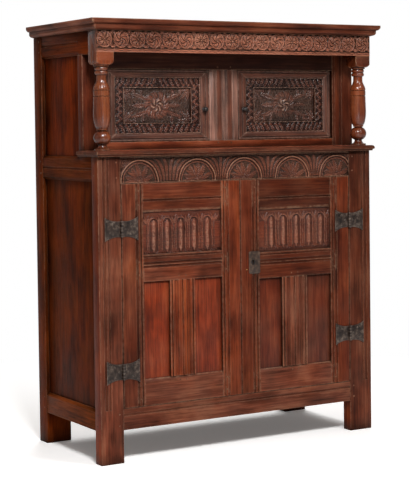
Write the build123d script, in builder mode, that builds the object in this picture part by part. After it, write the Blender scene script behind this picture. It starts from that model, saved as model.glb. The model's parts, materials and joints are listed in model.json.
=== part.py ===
from build123d import *

import os

# Court cupboard in pegged oak: a cupboard with two panelled doors below, and a set-back
# cupboard with two small doors above it, under a canopy on two turned pillars.
# Millimetres. +X to the right, +Y to the back, +Z up. The origin is on the floor, under
# the middle of the whole object.

os.makedirs("parts", exist_ok=True)

# ---------------------------------------------------------------- overall sizes
case_width = 1244.0
case_depth = 545.0
overall_height = 1650.0
upper_stage_height = 485.0
cornice_height = 42.0
cornice_out = 32.0
canopy_proud = 8.0

# ---------------------------------------------------------------- lower frame
leg_height = 123.0
base_rail_height = 80.0
lower_frieze_height = 100.0
left_stile_width = 94.0
right_stile_width = 105.0
stile_thick = 48.0
post_wide = 105.0
post_deep = 68.0
face_step = 1.5
side_rail_thick = 40.0
front_rail_thick = 32.0
frieze_thick = 45.0
back_rail_thick = 26.0
side_mid_rail_height = 93.0
side_top_rail_height = 110.0
tenon_thick = 10.0
tenon_length = 34.0
tenon_shoulder = 12.0
stub_tenon_length = 16.0
rail_chamfer = 11.0
rail_channel = (9.0, 3.0)
top_rail_channel_rise = 48.0
base_rail_channel = (8.0, 3.0)
base_rail_channel_drop = 24.0
stile_mouldings = ((24.0, 11.0, 4.0), (41.0, 6.0, 2.5))

# ---------------------------------------------------------------- boards and panels
side_panel_recess = 16.0
side_panel_thick = 10.0
groove_depth = 8.0
board_thick = 18.0
board_gap = 1.0
back_board_thick = 10.0
back_board_count = 5
floor_board_count = 3
shelf_board_count = 2
top_board_count = 4
shelf_rise = 380.0
bearer_height = 30.0
bearer_thick = 26.0
bearer_inset = 60.0
top_board_thick = 18.0
waist_shelf_thick = 22.0
waist_shelf_front = 22.0
waist_shelf_side = 12.0
waist_shelf_round = (10.0, 9.0)
waist_shelf_hollow = (7.0, 8.0)

# ---------------------------------------------------------------- upper cupboard
upper_recess = 116.0
upper_stile_width = 100.0
upper_frame_thick = 36.0
upper_muntin_width = 132.0
muntin_chamfer = 19.0
muntin_chamfer_depth = 5.0
muntin_mouldings = ((-38.0, 7.0, 2.5), (-8.0, 10.0, 4.0), (8.0, 10.0, 4.0), (38.0, 7.0, 2.5))
upper_stile_mouldings = ((9.0, 8.0, 3.0), (42.0, 12.0, 4.0))
sill_height = 30.0
sill_tenon_shoulder = 6.0
upper_opening_height = 276.0
door_seat = 2.0
canopy_frieze_height = 80.0
canopy_frieze_thick = 30.0

# ---------------------------------------------------------------- turned pillars
pillar_block = 70.0
pillar_turned_length = 316.0
spigot_radius = 13.0
spigot_length = 16.0
foot_radius = 31.0
foot_height = 7.0
foot_hollow = (18.4, 12.0)
ball_radius = 33.0
ball_middle = 48.0
ball_neck = 15.0
ball_half_height = 26.0
ball_seat = 2.0
barrel_foot_radius = 21.0
barrel_radius = 31.0
barrel_start = 82.0
barrel_swell = 19.0
barrel_swell_share = 0.8
collar_start = 199.0
collar_height = 26.0
collar_cut = 2.0
neck_radius = 19.0
neck_height = 266.0
ring_radius = 25.5
ring_height = 15.0
ring_seat_radius = 22.0
cap_radius = 29.0
cap_height = 6.0
shoulder_rise = 17.0
shoulder_reach = 0.72  # of the block's side, just past its corners at 0.707

# ---------------------------------------------------------------- cornice section, in from its lip and up
cornice_fillet = (5.0, 1.0)
cornice_cove = ((17.9, 4.0), (13.0, 11.0))
cornice_corona = ((13.0, 22.0), (11.0, 22.0))
cornice_crown = ((3.0, 27.0), (0.0, 35.0))

# ---------------------------------------------------------------- lower doors
door_gap = 1.5
door_rise = 2.0
lower_door_thick = 26.0
hinge_stile_width = 90.0
meeting_stile_width = 84.0
door_panel_recess = 9.0
door_panel_thick = 8.0
top_rail_height = {"left": 109.0, "right": 120.0}
carved_panel_height = {"left": 159.0, "right": 167.0}
lock_rail_height = {"left": 102.0, "right": 103.0}
bottom_rail_height = {"left": 100.0, "right": 90.0}
door_muntin_width = {"left": 109.0, "right": 119.0}
door_muntin_offset = -5.0
top_moulding_height = 38.0
top_moulding_depth = 7.0
splay_height = 12.0
splay_depth = 7.0
top_rail_quirk = (45.0, 7.0, 3.5)
lock_rail_mouldings = ((9.0, 6.0, 3.0), (34.0, 9.0, 4.0), (46.0, 9.0, 4.0))
door_stile_mouldings = ((10.0, 6.0, 3.5), (27.0, 10.0, 4.5))
door_muntin_mouldings = ((9.0, 6.0, 4.0), (29.0, 17.0, 5.0))
door_muntin_quirk = (6.0, 3.0)

# ---------------------------------------------------------------- upper doors
upper_door_thick = 24.0
upper_door_set_in = 4.0
upper_door_gap = 2.0
upper_door_rise = 3.0
upper_frame_width = {"upright": 38.0, "level": 27.0}
upper_frame_ovolo = (14.0, 5.0)
upper_frame_quirk = (20.0, 6.0, 3.0)
upper_border_width = 40.0
upper_border_thick = 7.0
upper_panel_recess = 12.0
upper_panel_thick = 10.0
pintle_radius = 4.0
pintle_length = 18.0
pintle_seat = 20.0
pintle_end_play = 1.0
running_fit = 0.05

# ---------------------------------------------------------------- butterfly hinges
leaf_thick = 2.5
leaf_length = 69.0
leaf_end_half = 44.0
leaf_waist_half = 29.0
leaf_curve_at = 40.0
leaf_curve_half = 31.5
leaf_root = 7.5
knuckle_radius = 6.0
knuckle_count = 5
knuckle_gap = 0.4
knuckle_lap = 1.0
hinge_pin_radius = 3.0
hinge_pin_end = 1.0
moving_clearance = 0.3
hinge_from_bottom = {"left": 137.0, "right": 197.0}
hinge_from_top = {"left": 167.0, "right": 178.0}

# ---------------------------------------------------------------- lock, bolt and catches
escutcheon_width = 51.0
escutcheon_height = 87.0
escutcheon_thick = 2.0
escutcheon_corner = 4.0
escutcheon_from_edge = 36.0
escutcheon_rise = 14.0
keyhole_from_edge = 55.0
keyhole_rise = 20.0
keyhole_radius = 4.0
keyhole_slot_width = 4.0
keyhole_slot_length = 15.0
lock_length = 96.0
lock_height = 84.0
lock_depth = 20.0
lock_wall = 2.0
lock_bolt_length = 74.0
lock_bolt_height = 16.0
lock_bolt_thick = 7.0
lock_bolt_rise = 18.0
lock_case_inset = 1.0
lock_bolt_stand_off = 1.0
lock_bolt_throw = 14.0
slide_fit = 0.3
door_bolt_radius = 5.0
door_bolt_length = 170.0
door_bolt_throw = 18.0
door_bolt_down = 3.0
bolt_mortise_play = 1.5
bolt_mortise_spare = 6.0
staple_width = 26.0
staple_depth = 20.0
staple_height = 12.0
staple_drops = (30.0, 130.0)
bolt_handle_radius = 4.0
bolt_handle_length = 20.0
catch_from_edge = 24.0
catch_rise = 118.0
spindle_radius = 4.0
knob_radius = 10.5
knob_length = 22.0
knob_neck = (5.0, 4.0, 7.0)
knob_brow = (8.0, 19.0)
knob_tip = (2.5, 5.6, 21.1)
boss_radius = 8.0
boss_lip = 2.0
tongue_length = 42.0
tongue_width = 14.0
tongue_thick = 6.0
tongue_clearance = 1.5

# ---------------------------------------------------------------- share of an arris at mid-curve
ROUND = 0.29
CHAMFER = 0.5
HOLLOW = 0.71

# ---------------------------------------------------------------- how far a cut runs out of the wood
OVERCUT = 1.0

# ---------------------------------------------------------------- worked-out planes
SIDES = {"left": -1, "right": 1}
half_width = case_width / 2
left, right = -half_width, half_width
front = canopy_proud + cornice_out - (case_depth + canopy_proud + cornice_out) / 2
back = front + case_depth
canopy_front = front - canopy_proud

base_top = leg_height + base_rail_height
shelf_top = overall_height - upper_stage_height
shelf_under = shelf_top - waist_shelf_thick
lower_frieze_bottom = shelf_under - lower_frieze_height
mid_rail_bottom = shelf_under - side_mid_rail_height
rails_top = overall_height - top_board_thick
top_rail_bottom = rails_top - side_top_rail_height
cornice_bottom = overall_height - cornice_height
canopy_frieze_bottom = cornice_bottom - canopy_frieze_height
block_bottom = shelf_top + pillar_turned_length

stile_back = front + stile_thick
post_front = back - post_deep
block_back = canopy_front + pillar_block
rail_face = front + face_step
rail_back = back - face_step
opening = {"left": left + left_stile_width, "right": right - right_stile_width}
meeting_line = (opening["left"] + opening["right"]) / 2
back_x = (left + post_wide, right - post_wide)

upper_front = front + upper_recess
upper_back = upper_front + upper_frame_thick
sill_top = shelf_top + sill_height
head_bottom = sill_top + upper_opening_height
upper_inner = half_width - upper_stile_width
upper_rail_back = upper_front + upper_door_set_in + upper_door_thick + door_seat
muntin_half = upper_muntin_width / 2

door_bottom = base_top + door_rise
door_top = lower_frieze_bottom - door_rise
door_back = front + lower_door_thick
upper_door_front = upper_front + upper_door_set_in
upper_door_back = upper_door_front + upper_door_thick
upper_axis_y = upper_door_front + upper_door_thick / 2
hinge_axis_y = front - knuckle_radius - moving_clearance
knuckle_height = (2 * leaf_waist_half - (knuckle_count - 1) * knuckle_gap) / knuckle_count


# ---------------------------------------------------------------- shared shapes
def span(a, b):
    """Return two coordinates in rising order."""
    return min(a, b), max(a, b)


def bar(x0, x1, y0, y1, z0, z1, mode=Mode.ADD):
    """Add, or cut away, a squared bar between two corners."""
    with BuildSketch(Plane.XY.offset(min(z0, z1)), mode=Mode.PRIVATE) as outline:
        with Locations(((x0 + x1) / 2, (y0 + y1) / 2)):
            Rectangle(abs(x1 - x0), abs(y1 - y0))
    extrude(outline.sketch, amount=abs(z1 - z0), mode=mode)


def rod(start, radius, length, direction, mode=Mode.ADD):
    """Add, or cut away, a round bar that starts at a point and runs along a direction."""
    with BuildSketch(Plane(origin=start, z_dir=direction), mode=Mode.PRIVATE) as outline:
        Circle(radius)
    extrude(outline.sketch, amount=length, mode=mode)


def section_plane(start, end, across, into):
    """Return the plane of a moulding's section, local x across it and y into the wood."""
    run = Vector(*end) - Vector(*start)
    normal = Vector(*across).cross(Vector(*into))
    origin = start if run.dot(normal) > 0 else end
    return Plane(origin=origin, x_dir=across, z_dir=normal), run.length


def channel(start, end, across, into, width, depth):
    """Cut a round-bottomed moulding channel along a line on a face."""
    plane, length = section_plane(start, end, across, into)
    with BuildSketch(plane, mode=Mode.PRIVATE) as outline:
        with BuildLine():
            ThreePointArc((-width / 2, 0), (0, depth), (width / 2, 0))
            Polyline(
                (width / 2, 0),
                (width / 2, -OVERCUT),
                (-width / 2, -OVERCUT),
                (-width / 2, 0),
            )
        make_face()
    extrude(outline.sketch, amount=length, mode=Mode.SUBTRACT)


def edge_cut(start, end, across, into, width, depth, middle=CHAMFER):
    """Mould an edge away to a chamfer, a round or a hollow."""
    plane, length = section_plane(start, end, across, into)
    with BuildSketch(plane, mode=Mode.PRIVATE) as outline:
        with BuildLine():
            if middle == CHAMFER:
                Line((width, 0), (0, depth))
            else:
                ThreePointArc((width, 0), (middle * width, middle * depth), (0, depth))
            Polyline(
                (0, depth),
                (-OVERCUT, depth),
                (-OVERCUT, -OVERCUT),
                (width, -OVERCUT),
                (width, 0),
            )
        make_face()
    extrude(outline.sketch, amount=length, mode=Mode.SUBTRACT)


def from_side(side, near, far):
    """Return the x range between two distances inward from one side face of the case."""
    return span(side * (half_width - near), side * (half_width - far))


def grown(box, by):
    """Return a box made larger by a clearance on every side."""
    return tuple(value + (by if i % 2 else -by) for i, value in enumerate(box))


def tenons(box, axis, length=tenon_length, shoulder=tenon_shoulder):
    """Return the two end tenons of a member that runs along axis 0, 1 or 2 (x, y or z)."""
    thin, tall = {0: (1, 2), 1: (0, 2), 2: (1, 0)}[axis]
    middle = (box[2 * thin] + box[2 * thin + 1]) / 2
    ends = []
    for at, reach in ((box[2 * axis], -length), (box[2 * axis + 1], length)):
        end = list(box)
        end[2 * axis], end[2 * axis + 1] = span(at, at + reach)
        end[2 * thin], end[2 * thin + 1] = middle - tenon_thick / 2, middle + tenon_thick / 2
        end[2 * tall] += shoulder
        end[2 * tall + 1] -= shoulder
        ends.append(tuple(end))
    return ends


def timber(box, ends=(), cuts=()):
    """Add a squared member with its tenons, then cut the mortises and grooves in it."""
    bar(*box)
    for end in ends:
        bar(*end)
    for cut in cuts:
        bar(*cut, mode=Mode.SUBTRACT)


def write(piece, label):
    """Label a finished piece and write it as its own node."""
    piece.label = label
    export_step(piece, f"parts/{label}.step")


def planks(label, area, axis, count, cuts=()):
    """Write a boarded area as planks side by side, cut round what stands in it."""
    low, high = area[2 * axis], area[2 * axis + 1]
    pitch = (high - low + board_gap) / count
    boards = []
    for i in range(count):
        edges = list(area)
        edges[2 * axis] = low + i * pitch
        edges[2 * axis + 1] = low + (i + 1) * pitch - board_gap
        with BuildPart() as board:
            timber(edges, cuts=cuts)
        boards.append(board.part)
    write(Compound(children=boards), label)


# ---------------------------------------------------------------- boxes that meet
side_x = {n: from_side(s, face_step, face_step + side_rail_thick) for n, s in SIDES.items()}
panel_x = {
    n: from_side(s, side_panel_recess, side_panel_recess + side_panel_thick)
    for n, s in SIDES.items()
}
stiles = {
    n: (*span(s * half_width, opening[n]), front, stile_back, 0.0, shelf_under)
    for n, s in SIDES.items()
}
posts = {n: (*from_side(s, 0, post_wide), post_front, back, 0.0, rails_top) for n, s in SIDES.items()}
blocks = {
    n: (*from_side(s, 0, pillar_block), canopy_front, block_back, block_bottom, rails_top)
    for n, s in SIDES.items()
}
across_opening = (opening["left"], opening["right"])
front_base = (*across_opening, rail_face, rail_face + front_rail_thick, leg_height, base_top)
frieze = (*across_opening, rail_face, rail_face + frieze_thick, lower_frieze_bottom, shelf_under)
side_base = {n: (*side_x[n], stile_back, post_front, leg_height, base_top) for n in SIDES}
side_mid = {n: (*side_x[n], stile_back, post_front, mid_rail_bottom, shelf_under) for n in SIDES}
side_top = {n: (*side_x[n], block_back, post_front, top_rail_bottom, rails_top) for n in SIDES}
side_lower = {
    n: (
        *panel_x[n],
        stile_back - groove_depth,
        post_front + groove_depth,
        base_top - groove_depth,
        mid_rail_bottom + groove_depth,
    )
    for n in SIDES
}
side_upper = {
    n: (
        *panel_x[n],
        upper_back - groove_depth,
        post_front + groove_depth,
        shelf_under - groove_depth,
        top_rail_bottom + groove_depth,
    )
    for n in SIDES
}
back_y = (rail_back - back_rail_thick, rail_back)
back_base = (*back_x, *back_y, leg_height, base_top)
back_mid = (*back_x, *back_y, mid_rail_bottom, shelf_under)
back_top = (*back_x, *back_y, top_rail_bottom, rails_top)
board_front = rail_back - (back_rail_thick + back_board_thick) / 2
board_area = (
    back_x[0] - groove_depth,
    back_x[1] + groove_depth,
    board_front,
    board_front + back_board_thick,
)
back_lower = (*board_area, base_top - groove_depth, mid_rail_bottom + groove_depth)
back_upper = (*board_area, shelf_under - groove_depth, top_rail_bottom + groove_depth)
inside_x = (
    left + side_panel_recess + side_panel_thick + board_gap,
    right - side_panel_recess - side_panel_thick - board_gap,
)

upper_stiles = {
    n: (*from_side(s, 0, upper_stile_width), upper_front, upper_back, shelf_top, rails_top)
    for n, s in SIDES.items()
}
head = (-upper_inner, upper_inner, upper_front, upper_rail_back, head_bottom, rails_top)
sill = (-upper_inner, upper_inner, upper_front, upper_back, shelf_top, sill_top)
upper_muntin = (-muntin_half, muntin_half, upper_front, upper_rail_back, sill_top, head_bottom)
canopy_frieze = (
    left + pillar_block,
    right - pillar_block,
    canopy_front,
    canopy_front + canopy_frieze_thick,
    canopy_frieze_bottom,
    rails_top,
)
waist_shelf_box = (
    left - waist_shelf_side,
    right + waist_shelf_side,
    front - waist_shelf_front,
    upper_back,
    shelf_under,
    shelf_top,
)
pillar_axis = {
    n: (s * (half_width - pillar_block / 2), canopy_front + pillar_block / 2)
    for n, s in SIDES.items()
}
pintle_x = {
    n: s * (upper_inner - upper_door_gap - upper_door_thick / 2) for n, s in SIDES.items()
}
hinge_x = {n: opening[n] - s * door_gap for n, s in SIDES.items()}
hinge_z = {
    n: (door_bottom + hinge_from_bottom[n], door_top - hinge_from_top[n]) for n in SIDES
}


# ---------------------------------------------------------------- front stiles and back posts
for name, side in SIDES.items():
    inner_end = 0 if name == "left" else 1
    with BuildPart() as stile:
        mortises = [tenons(rail, 0)[inner_end] for rail in (front_base, frieze)]
        mortises += [tenons(rail, 1)[0] for rail in (side_base[name], side_mid[name])]
        timber(stiles[name], cuts=[*mortises, side_lower[name]])
        for inset, width, depth in stile_mouldings:
            x = side * (half_width - inset)
            low, high = (x, front, base_top), (x, front, shelf_under)
            channel(low, high, (1, 0, 0), (0, 1, 0), width, depth)
    write(stile.part, f"front_{name}_stile")

    with BuildPart() as post:
        mortises = [tenons(rail, 0)[inner_end] for rail in (back_base, back_mid, back_top)]
        mortises += [tenons(r[name], 1)[1] for r in (side_base, side_mid, side_top)]
        grooves = [side_lower[name], side_upper[name], back_lower, back_upper]
        timber(posts[name], cuts=mortises + grooves)
    write(post.part, f"back_{name}_post")

# ---------------------------------------------------------------- front and back rails
bolt_x = meeting_line - door_gap - meeting_stile_width / 2
bolt_y = door_back + staple_depth / 2
mortise_half = door_bolt_radius + bolt_mortise_play
bolt_mortise = (
    bolt_x - mortise_half,
    bolt_x + mortise_half,
    bolt_y - mortise_half,
    bolt_y + mortise_half,
    lower_frieze_bottom,
    lower_frieze_bottom + door_bolt_throw + bolt_mortise_spare,
)
with BuildPart() as front_base_rail:
    timber(front_base, tenons(front_base, 0))
    z = base_top - base_rail_channel_drop
    ends = (opening["left"], rail_face, z), (opening["right"], rail_face, z)
    channel(*ends, (0, 0, 1), (0, 1, 0), *base_rail_channel)
write(front_base_rail.part, "front_base_rail")

with BuildPart() as frieze_rail:
    timber(frieze, tenons(frieze, 0))
    bar(*bolt_mortise, mode=Mode.SUBTRACT)
write(frieze_rail.part, "lower_frieze_rail")

crosswise = []
for box in (back_base, back_mid, back_top):
    with BuildPart() as back_rail:
        timber(box, tenons(box, 0), [back_lower, back_upper])
    crosswise.append(back_rail.part)
write(Compound(children=crosswise), "back_rails")

# ---------------------------------------------------------------- side rails and panels
for name, side in SIDES.items():
    face_x = side * (half_width - face_step)
    inward = (-side, 0, 0)

    with BuildPart() as base_rail:
        timber(side_base[name], tenons(side_base[name], 1), [side_lower[name]])
        ends = (face_x, stile_back, base_top), (face_x, post_front, base_top)
        edge_cut(*ends, inward, (0, 0, -1), rail_chamfer, rail_chamfer)
    write(base_rail.part, f"{name}_base_rail")

    with BuildPart() as mid_rail:
        grooves = [side_lower[name], side_upper[name]]
        timber(side_mid[name], tenons(side_mid[name], 1), grooves)
        ends = (face_x, stile_back, mid_rail_bottom), (face_x, post_front, mid_rail_bottom)
        edge_cut(*ends, inward, (0, 0, 1), rail_chamfer, rail_chamfer)
        ends = (face_x, upper_back, shelf_under), (face_x, post_front, shelf_under)
        edge_cut(*ends, inward, (0, 0, -1), rail_chamfer, rail_chamfer)
        middle = (mid_rail_bottom + shelf_under) / 2
        ends = (face_x, stile_back, middle), (face_x, post_front, middle)
        channel(*ends, (0, 0, 1), inward, *rail_channel)
    write(mid_rail.part, f"{name}_mid_rail")

    with BuildPart() as top_rail:
        timber(side_top[name], tenons(side_top[name], 1), [side_upper[name]])
        ends = (face_x, upper_back, top_rail_bottom), (face_x, post_front, top_rail_bottom)
        edge_cut(*ends, inward, (0, 0, 1), rail_chamfer, rail_chamfer)
        middle = top_rail_bottom + top_rail_channel_rise
        ends = (face_x, upper_back, middle), (face_x, post_front, middle)
        channel(*ends, (0, 0, 1), inward, *rail_channel)
    write(top_rail.part, f"{name}_top_rail")

    with BuildPart() as lower_panel:
        bar(*side_lower[name])
    write(lower_panel.part, f"{name}_lower_panel")

    with BuildPart() as upper_panel:
        bar(*side_upper[name])
    write(upper_panel.part, f"{name}_upper_panel")

# ---------------------------------------------------------------- boards and shelves
planks("back_lower_boards", back_lower, 0, back_board_count)
planks("back_upper_boards", back_upper, 0, back_board_count)

floor_front = door_back + door_rise
around = [grown(box, board_gap) for box in (*stiles.values(), *posts.values())]
floor_area = (*inside_x, floor_front, board_front - board_gap, base_top, base_top + board_thick)
planks("floor_boards", floor_area, 1, floor_board_count, around)

shelf_z = base_top + board_thick + shelf_rise
shelf_area = (
    *inside_x,
    stile_back + board_gap,
    board_front - board_gap,
    shelf_z,
    shelf_z + board_thick,
)
planks("inner_shelf", shelf_area, 1, shelf_board_count, around)

bearers = []
for side in SIDES.values():
    with BuildPart() as bearer:
        across = from_side(side, bearer_inset, bearer_inset + bearer_thick)
        bar(*across, stile_back, post_front, shelf_z - bearer_height, shelf_z)
    bearers.append(bearer.part)
write(Compound(children=bearers), "shelf_bearers")

upper_floor = (*inside_x, upper_back, board_front - board_gap, shelf_under, shelf_top)
planks("upper_floor_boards", upper_floor, 1, floor_board_count, around)

top_area = (left + face_step, right - face_step, canopy_front, back, rails_top, overall_height)
planks("top_boards", top_area, 1, top_board_count)

# ---------------------------------------------------------------- waist shelf
with BuildPart() as waist_shelf:
    feet = [tenons(box, 2, stub_tenon_length)[0] for box in upper_stiles.values()]
    timber(waist_shelf_box, cuts=[*feet, *side_upper.values()])
    for x, y in pillar_axis.values():
        seat = (x, y, shelf_top - spigot_length)
        rod(seat, spigot_radius, spigot_length, (0, 0, 1), mode=Mode.SUBTRACT)
    x0, x1, y0, y1, z0, z1 = waist_shelf_box
    edges = (
        ((x0, y0), (x1, y0), (0, 1, 0)),
        ((x0, y0), (x0, y1), (1, 0, 0)),
        ((x1, y0), (x1, y1), (-1, 0, 0)),
    )
    for start, end, inward in edges:
        edge_cut((*start, z1), (*end, z1), inward, (0, 0, -1), *waist_shelf_round, ROUND)
        edge_cut((*start, z0), (*end, z0), inward, (0, 0, 1), *waist_shelf_hollow, HOLLOW)
write(waist_shelf.part, "waist_shelf")

# ---------------------------------------------------------------- upper case front
for name, side in SIDES.items():
    inner_end = 0 if name == "left" else 1
    box = upper_stiles[name]
    with BuildPart() as upper_stile:
        passage_x = from_side(side, -OVERCUT, face_step + side_rail_thick)
        passage = (*passage_x, *side_top[name][2:])
        mortises = [tenons(head, 0)[inner_end]]
        mortises += [tenons(sill, 0, shoulder=sill_tenon_shoulder)[inner_end]]
        foot = tenons(box, 2, stub_tenon_length)[:1]
        timber(box, foot, [passage, *mortises, side_upper[name]])
        for inset, width, depth in upper_stile_mouldings:
            x = side * (upper_inner + inset)
            low, high = (x, upper_front, shelf_top), (x, upper_front, rails_top)
            channel(low, high, (1, 0, 0), (0, 1, 0), width, depth)
    write(upper_stile.part, f"upper_{name}_stile")

pintle_ends = [(x, upper_axis_y) for x in pintle_x.values()]
with BuildPart() as head_rail:
    mortise = tenons(upper_muntin, 2, stub_tenon_length)[1]
    timber(head, tenons(head, 0), [mortise])
    for x, y in pintle_ends:
        rod((x, y, head_bottom), pintle_radius, pintle_seat, (0, 0, 1), mode=Mode.SUBTRACT)
write(head_rail.part, "upper_head_rail")

with BuildPart() as sill_rail:
    mortise = tenons(upper_muntin, 2, stub_tenon_length)[0]
    timber(sill, tenons(sill, 0, shoulder=sill_tenon_shoulder), [mortise])
    for x, y in pintle_ends:
        rod((x, y, sill_top), pintle_radius, pintle_seat, (0, 0, -1), mode=Mode.SUBTRACT)
write(sill_rail.part, "upper_sill_rail")

with BuildPart() as muntin:
    timber(upper_muntin, tenons(upper_muntin, 2, stub_tenon_length))
    for side in SIDES.values():
        x = side * muntin_half
        low, high = (x, upper_front, sill_top), (x, upper_front, head_bottom)
        edge_cut(low, high, (-side, 0, 0), (0, 1, 0), muntin_chamfer, muntin_chamfer_depth)
    for x, width, depth in muntin_mouldings:
        low, high = (x, upper_front, sill_top), (x, upper_front, head_bottom)
        channel(low, high, (1, 0, 0), (0, 1, 0), width, depth)
write(muntin.part, "upper_muntin")

with BuildPart() as canopy_rail:
    timber(canopy_frieze, tenons(canopy_frieze, 0))
write(canopy_rail.part, "canopy_frieze_rail")


# ---------------------------------------------------------------- turned baluster pillars
def pillar(name):
    """Write one pillar: a turned baluster under a square block, on a spigot in the shelf."""
    x, y = pillar_axis[name]
    centre = Axis((x, y, 0), (0, 0, 1))
    section = Plane(origin=(x, y, shelf_top), x_dir=(1, 0, 0), z_dir=(0, -1, 0))
    ball_low = ball_middle - ball_half_height
    ball_high = ball_middle + ball_half_height
    collar_end = collar_start + collar_height
    barrel_growth = barrel_radius - barrel_foot_radius
    barrel_swell_radius = barrel_foot_radius + barrel_swell_share * barrel_growth
    ring_low = pillar_turned_length - cap_height - 2 * ring_height
    ring_mid = ring_low + ring_height
    ring_high = ring_mid + ring_height
    with BuildPart() as turned:
        with BuildSketch(section):
            with BuildLine():
                Polyline(
                    (0, -spigot_length),
                    (spigot_radius, -spigot_length),
                    (spigot_radius, 0),
                    (foot_radius, 0),
                    (foot_radius, foot_height),
                )
                ThreePointArc((foot_radius, foot_height), foot_hollow, (ball_neck, ball_low))
                ThreePointArc(
                    (ball_neck, ball_low), (ball_radius, ball_middle), (ball_neck, ball_high)
                )
                Polyline(
                    (ball_neck, ball_high),
                    (barrel_foot_radius, ball_high + ball_seat),
                    (barrel_foot_radius, barrel_start),
                )
                Spline(
                    (barrel_foot_radius, barrel_start),
                    (barrel_swell_radius, barrel_start + barrel_swell),
                    (barrel_radius, collar_start),
                    tangents=((0.7, 0.7), (0, 1)),
                )
                Polyline(
                    (barrel_radius, collar_start),
                    (barrel_radius - collar_cut, collar_start + collar_cut),
                    (barrel_radius, collar_start + 2 * collar_cut),
                    (barrel_radius, collar_end - 2 * collar_cut),
                    (barrel_radius - collar_cut, collar_end - collar_cut),
                    (barrel_radius, collar_end),
                )
                Spline(
                    (barrel_radius, collar_end),
                    ((barrel_radius + neck_radius) / 2, (collar_end + neck_height) / 2),
                    (neck_radius, neck_height),
                    tangents=((0, 1), (0, 1)),
                )
                seat = ring_seat_radius
                Polyline((neck_radius, neck_height), (neck_radius, ring_low), (seat, ring_low))
                for low, high in ((ring_low, ring_mid), (ring_mid, ring_high)):
                    ThreePointArc((seat, low), (ring_radius, (low + high) / 2), (seat, high))
                Polyline(
                    (ring_seat_radius, ring_high),
                    (cap_radius, ring_high),
                    (cap_radius, pillar_turned_length),
                    (0, pillar_turned_length),
                    (0, -spigot_length),
                )
            make_face()
        revolve(axis=centre)
        timber(
            blocks[name],
            cuts=[tenons(canopy_frieze, 0)[0 if name == "left" else 1], tenons(side_top[name], 1)[0]],
        )
        with BuildSketch(section, mode=Mode.PRIVATE) as shoulder:
            corner = shoulder_reach * pillar_block
            start = pillar_turned_length
            with BuildLine():
                TangentArc(
                    (cap_radius, start),
                    (corner, start + shoulder_rise),
                    tangent=(1, 0),
                )
                Polyline((corner, start + shoulder_rise), (corner, start), (cap_radius, start))
            make_face()
        revolve(shoulder.sketch, axis=centre, mode=Mode.SUBTRACT)
    write(turned.part, f"{name}_pillar")


for name in SIDES:
    pillar(name)


# ---------------------------------------------------------------- mitred cornice
def cornice_section(plane, inset):
    """Return the cornice section: local x out from the case, local y up from its foot."""
    foot, foot_rise = cornice_fillet
    cove, corona, crown = (
        [(cornice_out - inward, up) for inward, up in member]
        for member in (cornice_cove, cornice_corona, cornice_crown)
    )
    with BuildSketch(plane, mode=Mode.PRIVATE) as section:
        with BuildLine():
            Polyline((-inset, 0), (foot, 0), (foot, foot_rise))
            ThreePointArc((foot, foot_rise), *cove)
            Polyline(cove[-1], *corona)
            ThreePointArc(corona[-1], *crown)
            Polyline(
                crown[-1],
                (cornice_out, cornice_height),
                (-inset, cornice_height),
                (-inset, 0),
            )
        make_face()
    return section.sketch


mitres = {
    n: Plane(origin=(s * half_width, canopy_front, 0), x_dir=(0, 0, 1), z_dir=(-s, -1, 0))
    for n, s in SIDES.items()
}
with BuildPart() as front_cornice:
    start = (left - cornice_out, canopy_front, cornice_bottom)
    facing = Plane(origin=start, x_dir=(0, -1, 0), z_dir=(-1, 0, 0))
    extrude(cornice_section(facing, 0), amount=-(case_width + 2 * cornice_out))
    for mitre in mitres.values():
        split(bisect_by=mitre, keep=Keep.TOP)
write(front_cornice.part, "front_cornice")

for name, side in SIDES.items():
    with BuildPart() as side_cornice:
        start = (side * half_width, canopy_front - cornice_out, cornice_bottom)
        facing = Plane(origin=start, x_dir=(side, 0, 0), z_dir=(0, -side, 0))
        length = back - canopy_front + cornice_out
        extrude(cornice_section(facing, face_step), amount=-side * length)
        split(bisect_by=mitres[name], keep=Keep.BOTTOM)
        for box in (blocks[name], posts[name]):
            bar(*box, mode=Mode.SUBTRACT)
    write(side_cornice.part, f"{name}_cornice")


# ---------------------------------------------------------------- lower doors
def keyhole(depth_from, depth_to):
    """Cut the keyhole, a round with a slot under it, between two depths."""
    x = meeting_line + door_gap + keyhole_from_edge
    length = depth_to - depth_from
    rod((x, depth_from, keyhole_z), keyhole_radius, length, (0, 1, 0), mode=Mode.SUBTRACT)
    half = keyhole_slot_width / 2
    low = keyhole_z - keyhole_slot_length
    bar(x - half, x + half, depth_from, depth_to, low, keyhole_z, mode=Mode.SUBTRACT)


def lock_rail_top(name):
    """Return the height of the top edge of one door's lock rail."""
    return door_top - top_rail_height[name] - carved_panel_height[name]


lock_middle = lock_rail_top("right") - lock_rail_height["right"] / 2
keyhole_z = lock_middle + keyhole_rise


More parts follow.
